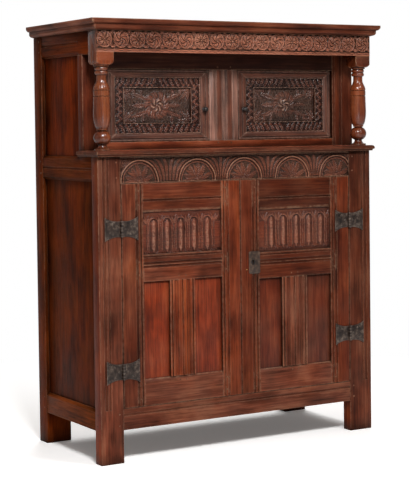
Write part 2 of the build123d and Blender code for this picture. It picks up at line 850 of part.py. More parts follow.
def lower_door(name):
    """Write one lower door: its joined frame, its carved panel and its two plain panels."""
    side = SIDES[name]
    hinge_edge = opening[name] - side * 2 * door_gap
    meeting_edge = meeting_line + side * door_gap
    hinge_inner = hinge_edge - side * hinge_stile_width
    meeting_inner = meeting_edge + side * meeting_stile_width
    rails_x = span(hinge_inner, meeting_inner)
    muntin_x = sum(rails_x) / 2 + door_muntin_offset
    half = door_muntin_width[name] / 2

    depth = (front, door_back)
    top_z = (door_top - top_rail_height[name], door_top)
    lock_z = (lock_rail_top(name) - lock_rail_height[name], lock_rail_top(name))
    bottom_z = (door_bottom, door_bottom + bottom_rail_height[name])
    top_rail = (*rails_x, *depth, *top_z)
    lock_rail = (*rails_x, *depth, *lock_z)
    bottom_rail = (*rails_x, *depth, *bottom_z)
    muntin = (muntin_x - half, muntin_x + half, *depth, bottom_z[1], lock_z[0])
    hinge_stile = (*span(hinge_edge, hinge_inner), *depth, door_bottom, door_top)
    meeting_stile = (*span(meeting_edge, meeting_inner), *depth, door_bottom, door_top)

    panel_y = (front + door_panel_recess, front + door_panel_recess + door_panel_thick)
    panel_areas = {
        "carved": (*rails_x, lock_z[1], top_z[0]),
        "low": (rails_x[0], muntin_x - half, bottom_z[1], lock_z[0]),
        "high": (muntin_x + half, rails_x[1], bottom_z[1], lock_z[0]),
    }
    panels = {
        key: (
            x0 - groove_depth,
            x1 + groove_depth,
            *panel_y,
            z0 - groove_depth,
            z1 + groove_depth,
        )
        for key, (x0, x1, z0, z1) in panel_areas.items()
    }
    rail_tenons = [tenons(rail, 0) for rail in (top_rail, lock_rail, bottom_rail)]
    muntin_tenons = tenons(muntin, 2)
    joints = [end for pair in rail_tenons for end in pair]
    slots = list(panels.values())

    members = []
    uprights = (
        (hinge_stile, hinge_edge, hinge_inner),
        (meeting_stile, meeting_edge, meeting_inner),
    )
    for box, edge, inner in uprights:
        toward = 1 if edge > inner else -1
        with BuildPart() as member:
            timber(box, cuts=joints + slots)
            for inset, width, cut in door_stile_mouldings:
                x = inner + toward * inset
                low, high = (x, front, door_bottom), (x, front, door_top)
                channel(low, high, (1, 0, 0), (0, 1, 0), width, cut)
            if name == "right" and box is meeting_stile:
                keyhole(front - OVERCUT, door_back + OVERCUT)
        members.append(member.part)

    with BuildPart() as member:
        timber(top_rail, rail_tenons[0], slots)
        ends = (rails_x[0], front, top_z[0]), (rails_x[1], front, top_z[0])
        edge_cut(*ends, (0, 0, 1), (0, 1, 0), top_moulding_height, top_moulding_depth)
        rise, width, cut = top_rail_quirk
        ends = (rails_x[0], front, top_z[0] + rise), (rails_x[1], front, top_z[0] + rise)
        channel(*ends, (0, 0, 1), (0, 1, 0), width, cut)
    members.append(member.part)

    with BuildPart() as member:
        timber(lock_rail, rail_tenons[1], [*slots, muntin_tenons[1]])
        for drop, width, cut in lock_rail_mouldings:
            z = lock_z[1] - drop
            ends = (rails_x[0], front, z), (rails_x[1], front, z)
            channel(*ends, (0, 0, 1), (0, 1, 0), width, cut)
    members.append(member.part)

    with BuildPart() as member:
        timber(bottom_rail, rail_tenons[2], [*slots, muntin_tenons[0]])
        ends = (rails_x[0], front, bottom_z[1]), (rails_x[1], front, bottom_z[1])
        edge_cut(*ends, (0, 0, -1), (0, 1, 0), splay_height, splay_depth)
    members.append(member.part)

    with BuildPart() as member:
        timber(muntin, muntin_tenons, slots)
        mouldings = [(0.0, *door_muntin_quirk)]
        for inset, width, cut in door_muntin_mouldings:
            mouldings += [(half - inset, width, cut), (inset - half, width, cut)]
        for offset, width, cut in mouldings:
            x = muntin_x + offset
            low, high = (x, front, bottom_z[1]), (x, front, lock_z[0])
            channel(low, high, (1, 0, 0), (0, 1, 0), width, cut)
    members.append(member.part)
    write(Compound(children=members), f"lower_{name}_door_frame")

    with BuildPart() as carved:
        bar(*panels["carved"])
    write(carved.part, f"lower_{name}_carved_panel")

    plain = []
    for key in ("low", "high"):
        with BuildPart() as panel:
            bar(*panels[key])
        plain.append(panel.part)
    write(Compound(children=plain), f"lower_{name}_plain_panels")


for name in SIDES:
    lower_door(name)


# ---------------------------------------------------------------- butterfly hinges
def hinge_leaf(x, z, toward, rows, bore):
    """Return one butterfly leaf, from its knuckles on the hinge line to its flared end."""
    tip = x + toward * leaf_length
    root = x + toward * leaf_root
    curve = x + toward * leaf_curve_at
    with BuildPart() as leaf:
        with BuildSketch(Plane.XZ.offset(-front)):
            with BuildLine():
                Line((tip, z - leaf_end_half), (tip, z + leaf_end_half))
                ThreePointArc(
                    (tip, z + leaf_end_half),
                    (curve, z + leaf_curve_half),
                    (root, z + leaf_waist_half),
                )
                Line((root, z + leaf_waist_half), (root, z - leaf_waist_half))
                ThreePointArc(
                    (root, z - leaf_waist_half),
                    (curve, z - leaf_curve_half),
                    (tip, z - leaf_end_half),
                )
            make_face()
        extrude(amount=leaf_thick)
        for row in rows:
            z0 = z - leaf_waist_half + row * (knuckle_height + knuckle_gap)
            inner = root + toward * knuckle_lap
            bar(*span(x, inner), front - leaf_thick, front, z0, z0 + knuckle_height)
            rod((x, hinge_axis_y, z0), knuckle_radius, knuckle_height, (0, 0, 1))
        start = (x, hinge_axis_y, z - leaf_waist_half - OVERCUT)
        rod(start, bore, 2 * (leaf_waist_half + OVERCUT), (0, 0, 1), mode=Mode.SUBTRACT)
    return leaf.part


fixed_leaves = []
pins = []
for name, side in SIDES.items():
    moving_leaves = []
    x = hinge_x[name]
    for z in hinge_z[name]:
        fixed_rows, moving_rows = range(0, knuckle_count, 2), range(1, knuckle_count, 2)
        fixed_leaves.append(hinge_leaf(x, z, side, fixed_rows, hinge_pin_radius))
        moving_leaves.append(hinge_leaf(x, z, -side, moving_rows, hinge_pin_radius + running_fit))
        with BuildPart() as pin:
            start = (x, hinge_axis_y, z - leaf_waist_half - hinge_pin_end)
            rod(start, hinge_pin_radius, 2 * (leaf_waist_half + hinge_pin_end), (0, 0, 1))
        pins.append(pin.part)
    write(Compound(children=moving_leaves), f"{name}_hinge_door_leaves")
write(Compound(children=fixed_leaves), "hinge_stile_leaves")
write(Compound(children=pins), "hinge_pins")

# ---------------------------------------------------------------- lock and escutcheon
lock_edge = meeting_line + door_gap
with BuildPart() as escutcheon:
    x0 = lock_edge + escutcheon_from_edge
    z0 = lock_middle + escutcheon_rise - escutcheon_height / 2
    bar(x0, x0 + escutcheon_width, front - escutcheon_thick, front, z0, z0 + escutcheon_height)
    upright = escutcheon.edges().filter_by(Axis.Y)
    chamfer(upright, escutcheon_corner)
    keyhole(front - escutcheon_thick - OVERCUT, front + OVERCUT)
write(escutcheon.part, "escutcheon")

bolt_area = (
    lock_edge,
    lock_edge + lock_bolt_length,
    door_back + lock_bolt_stand_off,
    door_back + lock_bolt_stand_off + lock_bolt_thick,
    keyhole_z + lock_bolt_rise - lock_bolt_height / 2,
    keyhole_z + lock_bolt_rise + lock_bolt_height / 2,
)
with BuildPart() as lock_case:
    z0, z1 = keyhole_z - lock_height / 2, keyhole_z + lock_height / 2
    x0, x1 = lock_edge + lock_case_inset, lock_edge + lock_case_inset + lock_length
    bar(x0, x1, door_back, door_back + lock_depth, z0, z1)
    inner = (x0 + lock_wall, x1 - lock_wall, door_back, door_back + lock_depth - lock_wall)
    bar(*inner, z0 + lock_wall, z1 - lock_wall, mode=Mode.SUBTRACT)
    bar(*grown(bolt_area, slide_fit), mode=Mode.SUBTRACT)
write(lock_case.part, "lock_case")

with BuildPart() as lock_bolt:
    bar(*bolt_area)
write(lock_bolt.part, "lock_bolt")

# ---------------------------------------------------------------- bolt of the left door
staples = []
for drop in staple_drops:
    with BuildPart() as staple:
        z = door_top - drop
        half = staple_width / 2
        bar(bolt_x - half, bolt_x + half, door_back, door_back + staple_depth, z, z + staple_height)
        bore = door_bolt_radius + running_fit
        start = (bolt_x, bolt_y, z - OVERCUT)
        rod(start, bore, staple_height + 2 * OVERCUT, (0, 0, 1), mode=Mode.SUBTRACT)
    staples.append(staple.part)
write(Compound(children=staples), "door_bolt_staples")

with BuildPart() as door_bolt:
    low = door_top - door_bolt_down - door_bolt_length
    rod((bolt_x, bolt_y, low), door_bolt_radius, door_bolt_length, (0, 0, 1))
    handle_z = door_top - sum(staple_drops) / 2
    rod((bolt_x, bolt_y, handle_z), bolt_handle_radius, bolt_handle_length, (0, 1, 0))
write(door_bolt.part, "door_bolt")


# ---------------------------------------------------------------- upper doors
def corners_of(x0, x1, z0, z1):
    """Return the four corners of an upright rectangle, counterclockwise from the lower left."""
    return (x0, z0), (x1, z0), (x1, z1), (x0, z1)


def upper_door(name):
    """Write one upper door: a mitred moulded frame on pintles, its panel and its border."""
    side = SIDES[name]
    axis_x = pintle_x[name]
    hinge_edge = side * (upper_inner - upper_door_gap)
    meeting_edge = side * (muntin_half + upper_door_gap)
    z0, z1 = sill_top + upper_door_rise, head_bottom - upper_door_rise
    x0, x1 = span(hinge_edge, meeting_edge)
    upright, level = upper_frame_width["upright"], upper_frame_width["level"]
    inner_x = (x0 + upright, x1 - upright)
    inner_z = (z0 + level, z1 - level)
    panel_y = upper_door_front + upper_panel_recess
    panel = (
        inner_x[0] - groove_depth,
        inner_x[1] + groove_depth,
        panel_y,
        panel_y + upper_panel_thick,
        inner_z[0] - groove_depth,
        inner_z[1] + groove_depth,
    )
    with BuildPart() as blank:
        bar(*span(axis_x, meeting_edge), upper_door_front, upper_door_back, z0, z1)
        rod((axis_x, upper_axis_y, z0), upper_door_thick / 2, z1 - z0, (0, 0, 1))

    outer = corners_of(x0, x1, z0, z1)
    inner = corners_of(*inner_x, *inner_z)
    inward = ((0, 0, 1), (-1, 0, 0), (0, 0, -1), (1, 0, 0))
    bore = pintle_radius + running_fit
    depth = pintle_length - upper_door_rise + pintle_end_play
    spindle = (side * (muntin_half + upper_door_gap + catch_from_edge), z0 + catch_rise)
    members = []
    for i in range(4):
        a, b = outer[i], outer[(i + 1) % 4]
        c, d = inner[(i + 1) % 4], inner[i]
        with BuildPart() as member:
            with BuildSketch(Plane.XZ.offset(-upper_door_front)):
                with BuildLine():
                    Polyline(a, b, c, d, a)
                make_face()
            extrude(amount=-upper_door_thick)
            add(blank.part, mode=Mode.INTERSECT)
            start, end = (d[0], upper_door_front, d[1]), (c[0], upper_door_front, c[1])
            outward = tuple(-v for v in inward[i])
            edge_cut(start, end, outward, (0, 1, 0), *upper_frame_ovolo, ROUND)
            from_inner, width, cut = upper_frame_quirk
            if i % 2:
                x = d[0] + outward[0] * from_inner
                line = (x, upper_door_front, z0), (x, upper_door_front, z1)
            else:
                z = d[1] + outward[2] * from_inner
                line = (x0, upper_door_front, z), (x1, upper_door_front, z)
            channel(*line, outward, (0, 1, 0), width, cut)
            bar(*panel, mode=Mode.SUBTRACT)
            rod((axis_x, upper_axis_y, z0), bore, depth, (0, 0, 1), mode=Mode.SUBTRACT)
            rod((axis_x, upper_axis_y, z1), bore, depth, (0, 0, -1), mode=Mode.SUBTRACT)
            hole = (spindle[0], upper_door_front - OVERCUT, spindle[1])
            length = upper_door_thick + 2 * OVERCUT
            rod(hole, spindle_radius + running_fit, length, (0, 1, 0), mode=Mode.SUBTRACT)
        members.append(member.part)
    write(Compound(children=members), f"upper_{name}_door_frame")

    with BuildPart() as field:
        bar(*panel)
    write(field.part, f"upper_{name}_door_panel")

    edge_x = (inner_x[0] + upper_border_width, inner_x[1] - upper_border_width)
    edge_z = (inner_z[0] + upper_border_width, inner_z[1] - upper_border_width)
    edge = corners_of(*edge_x, *edge_z)
    strips = []
    for i in range(4):
        after = (i + 1) % 4
        with BuildPart() as strip:
            with BuildSketch(Plane.XZ.offset(upper_border_thick - panel_y)):
                with BuildLine():
                    Polyline(inner[i], inner[after], edge[after], edge[i], inner[i])
                make_face()
            extrude(amount=-upper_border_thick)
        strips.append(strip.part)
    write(Compound(children=strips), f"upper_{name}_door_border")

    turn_catch(name, *spindle)


def turn_catch(name, x, z):
    """Write one turn catch: a turned knob, its spindle through the door, and its tongue."""
    knob_face = upper_door_front - moving_clearance
    section = Plane(origin=(x, knob_face, z), x_dir=(1, 0, 0), z_dir=(0, 0, 1))
    tongue_front = upper_rail_back + tongue_clearance
    with BuildPart() as catch:
        with BuildSketch(section):
            with BuildLine():
                neck, neck_start, neck_end = knob_neck
                brow = (knob_brow[0], -knob_brow[1])
                tip, tip_shoulder, tip_drop = knob_tip
                Polyline((0, 0), (boss_radius, 0), (boss_radius, -boss_lip), (neck, -neck_start))
                Line((neck, -neck_start), (neck, -neck_end))
                ThreePointArc((neck, -neck_end), (knob_radius, -(neck_end + knob_brow[1]) / 2), brow)
                ThreePointArc(brow, (tip_shoulder, -tip_drop), (tip, -knob_length))
                Polyline((tip, -knob_length), (0, -knob_length), (0, 0))
            make_face()
        revolve(axis=Axis((x, knob_face, z), (0, 1, 0)))
        rod((x, knob_face, z), spindle_radius, tongue_front - knob_face, (0, 1, 0))
        boss = upper_door_back + moving_clearance
        rod((x, boss, z), boss_radius, tongue_front - boss, (0, 1, 0))
        half = tongue_width / 2
        tongue = (x - half, x + half, tongue_front, tongue_front + tongue_thick)
        bar(*tongue, z - tongue_length, z + half)
    write(catch.part, f"{name}_turn_catch")


for name in SIDES:
    upper_door(name)

pintles = []
for x, y in pintle_ends:
    for z, direction in ((sill_top - pintle_seat, 1), (head_bottom + pintle_seat, -1)):
        with BuildPart() as pintle:
            rod((x, y, z), pintle_radius, pintle_seat + pintle_length, (0, 0, direction))
        pintles.append(pintle.part)
write(Compound(children=pintles), "upper_door_pintles")
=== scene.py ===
"""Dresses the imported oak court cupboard: aged timbers, carved faces, old iron and a pale studio."""

import json
import logging
import math
import random
import zlib
from collections.abc import Callable, Iterable
from dataclasses import dataclass, field
from enum import Enum
from functools import cache

import bmesh
import bpy
import numpy as np
from mathutils import Matrix, Vector


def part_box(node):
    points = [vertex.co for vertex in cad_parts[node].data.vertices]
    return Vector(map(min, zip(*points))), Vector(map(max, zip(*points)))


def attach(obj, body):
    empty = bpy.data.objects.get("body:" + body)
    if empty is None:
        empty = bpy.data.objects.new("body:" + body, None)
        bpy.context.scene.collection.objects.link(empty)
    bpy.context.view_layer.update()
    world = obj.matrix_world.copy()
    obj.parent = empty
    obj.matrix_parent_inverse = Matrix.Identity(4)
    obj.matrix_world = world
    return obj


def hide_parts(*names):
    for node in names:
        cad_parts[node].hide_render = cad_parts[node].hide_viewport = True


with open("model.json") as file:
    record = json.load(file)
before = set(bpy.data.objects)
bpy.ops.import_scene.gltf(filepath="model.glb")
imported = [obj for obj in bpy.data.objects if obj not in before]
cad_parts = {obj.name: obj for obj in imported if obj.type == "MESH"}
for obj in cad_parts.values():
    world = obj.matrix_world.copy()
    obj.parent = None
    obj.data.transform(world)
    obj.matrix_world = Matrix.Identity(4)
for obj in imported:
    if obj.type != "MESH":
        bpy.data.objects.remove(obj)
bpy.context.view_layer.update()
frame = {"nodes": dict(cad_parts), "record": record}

MM = 0.001
SIDES = {"left": -1, "right": 1}
RECORD = frame["record"]
BODY_OF = {node: body for body, nodes in RECORD["behaviour"]["bodies"].items() for node in nodes}
SLOT_OF = {part["node"]: part["material_slot"] for part in RECORD["subparts"]}
Socket = bpy.types.NodeSocket
Tree = bpy.types.NodeTree
Field = np.ndarray
Spot = tuple[float, float, float]
Fan = Iterable[tuple[float, float]]
# A Mix node's colour sockets have numbers only, since its other kinds share their names.
MIX_A, MIX_B, MIX_RESULT = 6, 7, 2
RAMP_STOPS = (0.30, 0.50, 0.70)
OCCLUSION_SAMPLES = 4
# Points nearer than 0.01 mm are one point.
MERGE_STEPS_PER_METRE = 1e5
SHADE_CHANCE = (0.94, 1.06)
RUDDY_CHANCE = (-0.12, 0.12)
log = logging.getLogger("court_cupboard")


# ---------------------------------------------------------------- small helpers
def linear(hex_code: str) -> tuple[float, float, float, float]:
    """Turn an sRGB hex colour into linear RGBA.

    Args:
        hex_code: Colour as "#rrggbb".

    Returns:
        Linear red, green and blue, and an alpha of 1.
    """
    channels = [int(hex_code[i : i + 2], 16) / 255 for i in (1, 3, 5)]
    turned = [c / 12.92 if c <= 0.04045 else ((c + 0.055) / 1.055) ** 2.4 for c in channels]
    return (*turned, 1.0)


def add_node(tree: Tree, kind: str, inputs: dict | None = None, **settings: object) -> bpy.types.Node:
    """Add a node with its settings, and set or link its inputs.

    Args:
        tree: Tree that gets the node.
        kind: Node type, such as "ShaderNodeTexNoise".
        inputs: Socket name or number to a value, or to the output socket that feeds it.
        settings: Attributes of the node.

    Returns:
        The new node.
    """
    made = tree.nodes.new(kind)
    for key, value in settings.items():
        setattr(made, key, value)
    for key, value in (inputs or {}).items():
        if isinstance(value, Socket):
            tree.links.new(value, made.inputs[key])
        else:
            made.inputs[key].default_value = value
    return made


def box_of(node: str) -> tuple[Vector, Vector]:
    """Return the lowest and highest corner of a CAD node, in metres."""
    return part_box(node)


def link_mesh(name: str, mesh: bpy.types.Mesh) -> bpy.types.Object:
    """Put a mesh in the scene as an object at the origin.

    Args:
        name: Name of the object.
        mesh: Its mesh, in metres in the shared frame.

    Returns:
        The new object.
    """
    piece = bpy.data.objects.new(name, mesh)
    bpy.context.scene.collection.objects.link(piece)
    return piece


def settle(
    piece: bpy.types.Object,
    body: str,
    material: bpy.types.Material,
    stands_for: Iterable[str] = (),
) -> None:
    """Finish a piece: its material, its body and the CAD nodes that it stands for.

    Args:
        piece: Finished object at the origin.
        body: CAD body that it moves with.
        material: Finish of the whole piece.
        stands_for: CAD nodes that it replaces.
    """
    piece.data.materials.clear()
    piece.data.materials.append(material)
    if stands_for:
        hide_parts(*stands_for)
    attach(piece, body)
    log.info("%s: %d faces on %s", piece.name, len(piece.data.polygons), body)


def apply_modifier(piece: bpy.types.Object, modifier: bpy.types.Modifier) -> None:
    """Turn a piece's evaluated shape into its plain mesh, and take the modifier off.

    Args:
        piece: Object that carries the modifier.
        modifier: The modifier.
    """
    bpy.context.view_layer.update()
    seen = piece.evaluated_get(bpy.context.evaluated_depsgraph_get())
    mesh = bpy.data.meshes.new_from_object(seen)
    piece.modifiers.remove(modifier)
    piece.data = mesh


# ---------------------------------------------------------------- finishes
@dataclass(frozen=True)
class Palette:
    """Three colours of one material, from its darkest to its palest."""

    dark: str
    middle: str
    light: str

    def lay_on(self, ramp: bpy.types.Node) -> Socket:
        """Give a colour ramp these colours, the darkest first.

        Args:
            ramp: Node of the ramp.

        Returns:
            Its colour output.
        """
        first, middle, last = RAMP_STOPS
        stops = ramp.color_ramp.elements
        stops[0].position, stops[0].color = first, linear(self.dark)
        stops[1].position, stops[1].color = last, linear(self.light)
        stops.new(middle).color = linear(self.middle)
        return ramp.outputs["Color"]


def new_material(name: str) -> tuple[bpy.types.Material, Tree, bpy.types.Node]:
    """Make a material with one plain shader.

    Args:
        name: Its name.

    Returns:
        The material, its tree and its shader.
    """
    made = bpy.data.materials.new(name)
    made.use_nodes = True
    return made, made.node_tree, made.node_tree.nodes["Principled BSDF"]


def weigh(
    tree: Tree, fields: tuple[Socket, Socket, Socket], weights: tuple[float, float, float], start: float
) -> Socket:
    """Add three fields, each by its weight, to a starting number.

    Args:
        tree: Tree of the material.
        fields: The three fields.
        weights: Their weights.
        start: The starting number.

    Returns:
        The sum.
    """
    packed = add_node(tree, "ShaderNodeCombineXYZ", dict(enumerate(fields))).outputs[0]
    inputs = {0: packed, 1: weights}
    summed = add_node(tree, "ShaderNodeVectorMath", inputs, operation="DOT_PRODUCT").outputs["Value"]
    return add_node(tree, "ShaderNodeMath", {0: summed, 1: start}, operation="ADD").outputs[0]


def coat(
    tree: Tree,
    colour: Socket,
    mask: Socket,
    span: tuple[float, float],
    share: float,
    over: str,
    broken: Socket | float = 1.0,
) -> Socket:
    """Lay a thin coat of one colour over another, where a mask lies in a span.

    Args:
        tree: Tree of the material.
        colour: Colour so far.
        mask: Field that says where the coat lies.
        span: Values of the mask at which the coat starts and at which it is full.
        share: How much of what is under it the full coat covers.
        over: Its colour as "#rrggbb".
        broken: Field from 0 to 1 that breaks it up.

    Returns:
        The new colour.
    """
    inputs = {"Value": mask, "From Min": span[0], "From Max": span[1], "To Max": share}
    cover = add_node(tree, "ShaderNodeMapRange", inputs).outputs["Result"]
    left = add_node(tree, "ShaderNodeMath", {0: cover, 1: broken}, operation="MULTIPLY").outputs[0]
    mixed = {0: left, MIX_A: colour, MIX_B: linear(over)}
    return add_node(tree, "ShaderNodeMix", mixed, data_type="RGBA", clamp_factor=True).outputs[MIX_RESULT]


@dataclass(frozen=True)
class OakFinish:
    """Riven oak, darkened by age and wax: fine streaks, open pores, arrises lightened by wear and painted
    highlight, corners darkened by dirt and painted shade.

    The eye reads short dark pores, a soft wax sheen, tan edges where hands and feet have rubbed,
    lightened further by painted highlight, and black where frames meet panels, from dirt and
    painted shade. The mesh attribute "grain" carries each timber's own vectors, x along its grain
    in metres; "shade" and "ruddy" carry its brightness and redness.
    """

    name: str
    brown: Palette
    red: Palette
    wear_and_highlight: str
    grime_and_shade: str
    roughness: float = 0.44
    sheen_level: float = 0.18
    wax: float = 0.0
    streak_mm: float = 7.0
    figure_mm: float = 42.0
    patina_mm: float = 60.0
    # Oak's open pores are 0.3 mm wide; they are drawn at 2.4 mm, so that they show.
    pore_mm: float = 2.4
    blotch_mm: float = 170.0
    stain_mm: float = 95.0
    rub_mm: float = 15.0
    carved_rub_mm: float = 6.0
    edge_mm: float = 6.0
    corner_mm: float = 55.0
    pore_share: float = 0.38
    smoke_share: float = 0.50
    wear_and_highlight_share: float = 0.62
    dirt_and_shade: float = 0.90
    carved: bool = False
    hollow_dirt_and_shade: float = 0.90
    # How high a carved place looks where its dirt and painted shade starts and is full, and where its wear
    # and painted highlight starts and is full.
    hollow_span: tuple[float, float] = (0.66, 0.10)
    ridge_span: tuple[float, float] = (0.72, 0.97)
    soft_edge: float = 0.70
    arris_share: float = 0.9
    wax_roughness: float = 0.18
    bump_mm: float = 1.1
    bump_strength: float = 0.4

    def material(self) -> bpy.types.Material:
        """Build the node material of this finish.

        Returns:
            The material.
        """
        made, tree, shader = new_material(self.name)
        grain = add_node(tree, "ShaderNodeAttribute", attribute_name="grain").outputs["Vector"]
        shade, ruddy, wear_and_highlight, relief = (
            add_node(tree, "ShaderNodeAttribute", attribute_name=name).outputs["Fac"]
            for name in ("shade", "ruddy", "wear_and_highlight", "relief")
        )
        streaks = self._stretched(tree, grain, self.streak_mm, stretch=26.0, detail=5.0)
        figure = self._stretched(tree, grain, self.figure_mm, stretch=5.0, detail=3.5)
        patina = self._stretched(tree, grain, self.patina_mm, stretch=3.2, detail=5.0)
        pores = self._stretched(tree, grain, self.pore_mm, stretch=24.0, detail=1.0)
        spread = {"Value": pores, "From Min": 0.56, "From Max": 0.70}
        pore = add_node(tree, "ShaderNodeMapRange", spread).outputs["Result"]
        place = add_node(tree, "ShaderNodeTexCoord").outputs["Object"]
        rub_mm = self.carved_rub_mm if self.carved else self.rub_mm
        blotch, stain, rub = (
            add_node(
                tree, "ShaderNodeTexNoise", {"Vector": place, "Scale": 1000 / size, "Detail": detail}
            ).outputs["Fac"]
            for size, detail in ((self.blotch_mm, 4.0), (self.stain_mm, 6.0), (rub_mm, 3.0))
        )
        spread = {"Value": rub, "From Min": 0.30, "From Max": 0.62}
        patchy = add_node(tree, "ShaderNodeMapRange", spread).outputs["Result"]

        # The bare timber: brown and red by turns, each from dark to light.
        mixed = weigh(tree, (streaks, figure, blotch), weights=(0.48, 0.42, 0.50), start=-0.20)
        share = weigh(tree, (ruddy, stain, patina), weights=(1.0, 1.2, 0.8), start=-1.0)
        timber = {
            0: share,
            MIX_A: self.brown.lay_on(add_node(tree, "ShaderNodeValToRGB", {"Fac": mixed})),
            MIX_B: self.red.lay_on(add_node(tree, "ShaderNodeValToRGB", {"Fac": mixed})),
        }
        colour = add_node(
            tree, "ShaderNodeMix", timber, data_type="RGBA", clamp_factor=True
        ).outputs[MIX_RESULT]
        lit = {0: colour, "Scale": shade}
        colour = add_node(tree, "ShaderNodeVectorMath", lit, operation="SCALE").outputs[0]

        # What has settled in it: black in the pores, and smoke in patches. Carved work also gets dirt and
        # painted shade in its hollows, and wear and painted highlight on its ridges.
        colour = coat(tree, colour, pore, span=(0.0, 1.0), share=self.pore_share, over=self.grime_and_shade)
        colour = coat(tree, colour, patina, span=(0.51, 0.70), share=self.smoke_share, over=self.grime_and_shade)
        if self.carved:
            colour = coat(tree, colour, relief, self.hollow_span, self.hollow_dirt_and_shade, self.grime_and_shade)
            colour = coat(tree, colour, relief, self.ridge_span, self.wear_and_highlight_share, self.wear_and_highlight, patchy)

        # What has been rubbed off, with painted highlight: lighter colour on the edges that stand out, and on
        # the eased arrises.
        edge = add_node(
            tree,
            "ShaderNodeAmbientOcclusion",
            {"Distance": self.edge_mm * MM},
            samples=OCCLUSION_SAMPLES,
            inside=True,
            only_local=True,
        ).outputs["AO"]
        colour = coat(tree, colour, edge, (0.92, 0.55), self.soft_edge * self.wear_and_highlight_share, self.wear_and_highlight, patchy)
        colour = coat(tree, colour, wear_and_highlight, (0.0, 1.0), self.arris_share * self.wear_and_highlight_share, self.wear_and_highlight, patchy)
        # Dirt and painted shade: the colour darkens where ambient occlusion finds corners, broken up by stain
        # and patina.
        inputs = {"Distance": self.corner_mm * MM}
        corner = add_node(
            tree, "ShaderNodeAmbientOcclusion", inputs, samples=OCCLUSION_SAMPLES
        ).outputs["AO"]
        reach = weigh(tree, (corner, stain, patina), weights=(-1.35, 0.8, 0.4), start=0.83)
        colour = coat(tree, colour, reach, span=(0.16, 0.92), share=self.dirt_and_shade, over=self.grime_and_shade)
        tree.links.new(colour, shader.inputs["Base Color"])

        # The three fields add about 0.16, which brings the middle back to the finish's roughness.
        least_rough = self.roughness - 0.16
        gloss = weigh(tree, (blotch, pore, rub), weights=(0.20, 0.16, 0.12), start=least_rough)
        tree.links.new(gloss, shader.inputs["Roughness"])
        shader.inputs["Specular IOR Level"].default_value = self.sheen_level
        shader.inputs["Coat Weight"].default_value = self.wax
        shader.inputs["Coat Roughness"].default_value = self.wax_roughness

        depth = weigh(tree, (streaks, pore, rub), weights=(0.5, -0.5, 0.8), start=0.0)
        inputs = {"Height": depth, "Strength": self.bump_strength, "Distance": self.bump_mm * MM}
        bump = add_node(tree, "ShaderNodeBump", inputs)
        tree.links.new(bump.outputs["Normal"], shader.inputs["Normal"])
        return made

    @staticmethod
    def _stretched(tree: Tree, grain: Socket, width_mm: float, stretch: float, detail: float) -> Socket:
        """Turn the grain's place into noise drawn out along it.

        Args:
            tree: Tree of the material.
            grain: Place in the timber, x along its grain.
            width_mm: Width of a line across the grain.
            stretch: How many times longer than wide a line is.
            detail: Octaves of finer lines in it.

        Returns:
            The noise, 0 to 1.
        """
        across = 1 / (width_mm * MM)
        scale = (across / stretch, across, across)
        turned = add_node(tree, "ShaderNodeMapping", {"Vector": grain, "Scale": scale})
        settings = {"Vector": turned.outputs["Vector"], "Scale": 1.0, "Detail": detail, "Distortion": 0.3}
        return add_node(tree, "ShaderNodeTexNoise", settings).outputs["Fac"]


@dataclass(frozen=True)
class IronFinish:
    """Wrought metal, hammered and browned: dull and dark, with shallow dents, and edges lightened by rubbing
    and painted highlight.
    """

    name: str
    tones: Palette
    rubbed_and_highlight: str
    roughness: float = 0.46
    metal: float = 0.35
    rust_mm: float = 34.0
    dent_mm: float = 13.0
    # Forge scale is about 0.5 mm across; it is drawn at 2.8 mm, so that it shows.
    scale_mm: float = 2.8
    edge_mm: float = 2.2
    bump_mm: float = 1.8
    bump_strength: float = 0.6
    oil_and_shade: str = "#070403"
    oil_and_shade_at: Spot | None = None
    oil_and_shade_reach: tuple[float, float] = (12.5 * MM, 7.5 * MM)

    def material(self) -> bpy.types.Material:
        """Build the node material of this finish.

        Returns:
            The material.
        """
        made, tree, shader = new_material(self.name)
        place = add_node(tree, "ShaderNodeTexCoord").outputs["Object"]
        rust, dents, scale = (
            add_node(
                tree, "ShaderNodeTexNoise", {"Vector": place, "Scale": 1000 / size, "Detail": 2.0}
            ).outputs["Fac"]
            for size in (self.rust_mm, self.dent_mm, self.scale_mm)
        )
        mixed = weigh(tree, (rust, dents, scale), weights=(0.5, 0.8, 0.4), start=-0.37)
        colour = self.tones.lay_on(add_node(tree, "ShaderNodeValToRGB", {"Fac": mixed}))
        edge = add_node(
            tree,
            "ShaderNodeAmbientOcclusion",
            {"Distance": self.edge_mm * MM},
            samples=OCCLUSION_SAMPLES,
            inside=True,
            only_local=True,
        ).outputs["AO"]
        # Rubbing and painted highlight: lighter colour on the plates' edges.
        colour = coat(tree, colour, edge, (0.85, 0.40), share=0.90, over=self.rubbed_and_highlight, broken=dents)
        # Oil stain and painted shade: near-black colour round the keyhole.
        if self.oil_and_shade_at:
            inputs = {0: place, 1: self.oil_and_shade_at}
            away = add_node(tree, "ShaderNodeVectorMath", inputs, operation="DISTANCE").outputs["Value"]
            colour = coat(tree, colour, away, self.oil_and_shade_reach, share=0.95, over=self.oil_and_shade)
        tree.links.new(colour, shader.inputs["Base Color"])
        shader.inputs["Metallic"].default_value = self.metal
        # The fields add about 0.25, which brings the middle back to the finish's roughness.
        least_rough = self.roughness - 0.25
        gloss = weigh(tree, (scale, dents, rust), weights=(0.3, 0.2, 0.0), start=least_rough)
        tree.links.new(gloss, shader.inputs["Roughness"])
        inputs = {"Height": mixed, "Strength": self.bump_strength, "Distance": self.bump_mm * MM}
        bump = add_node(tree, "ShaderNodeBump", inputs)
        tree.links.new(bump.outputs["Normal"], shader.inputs["Normal"])
        return made


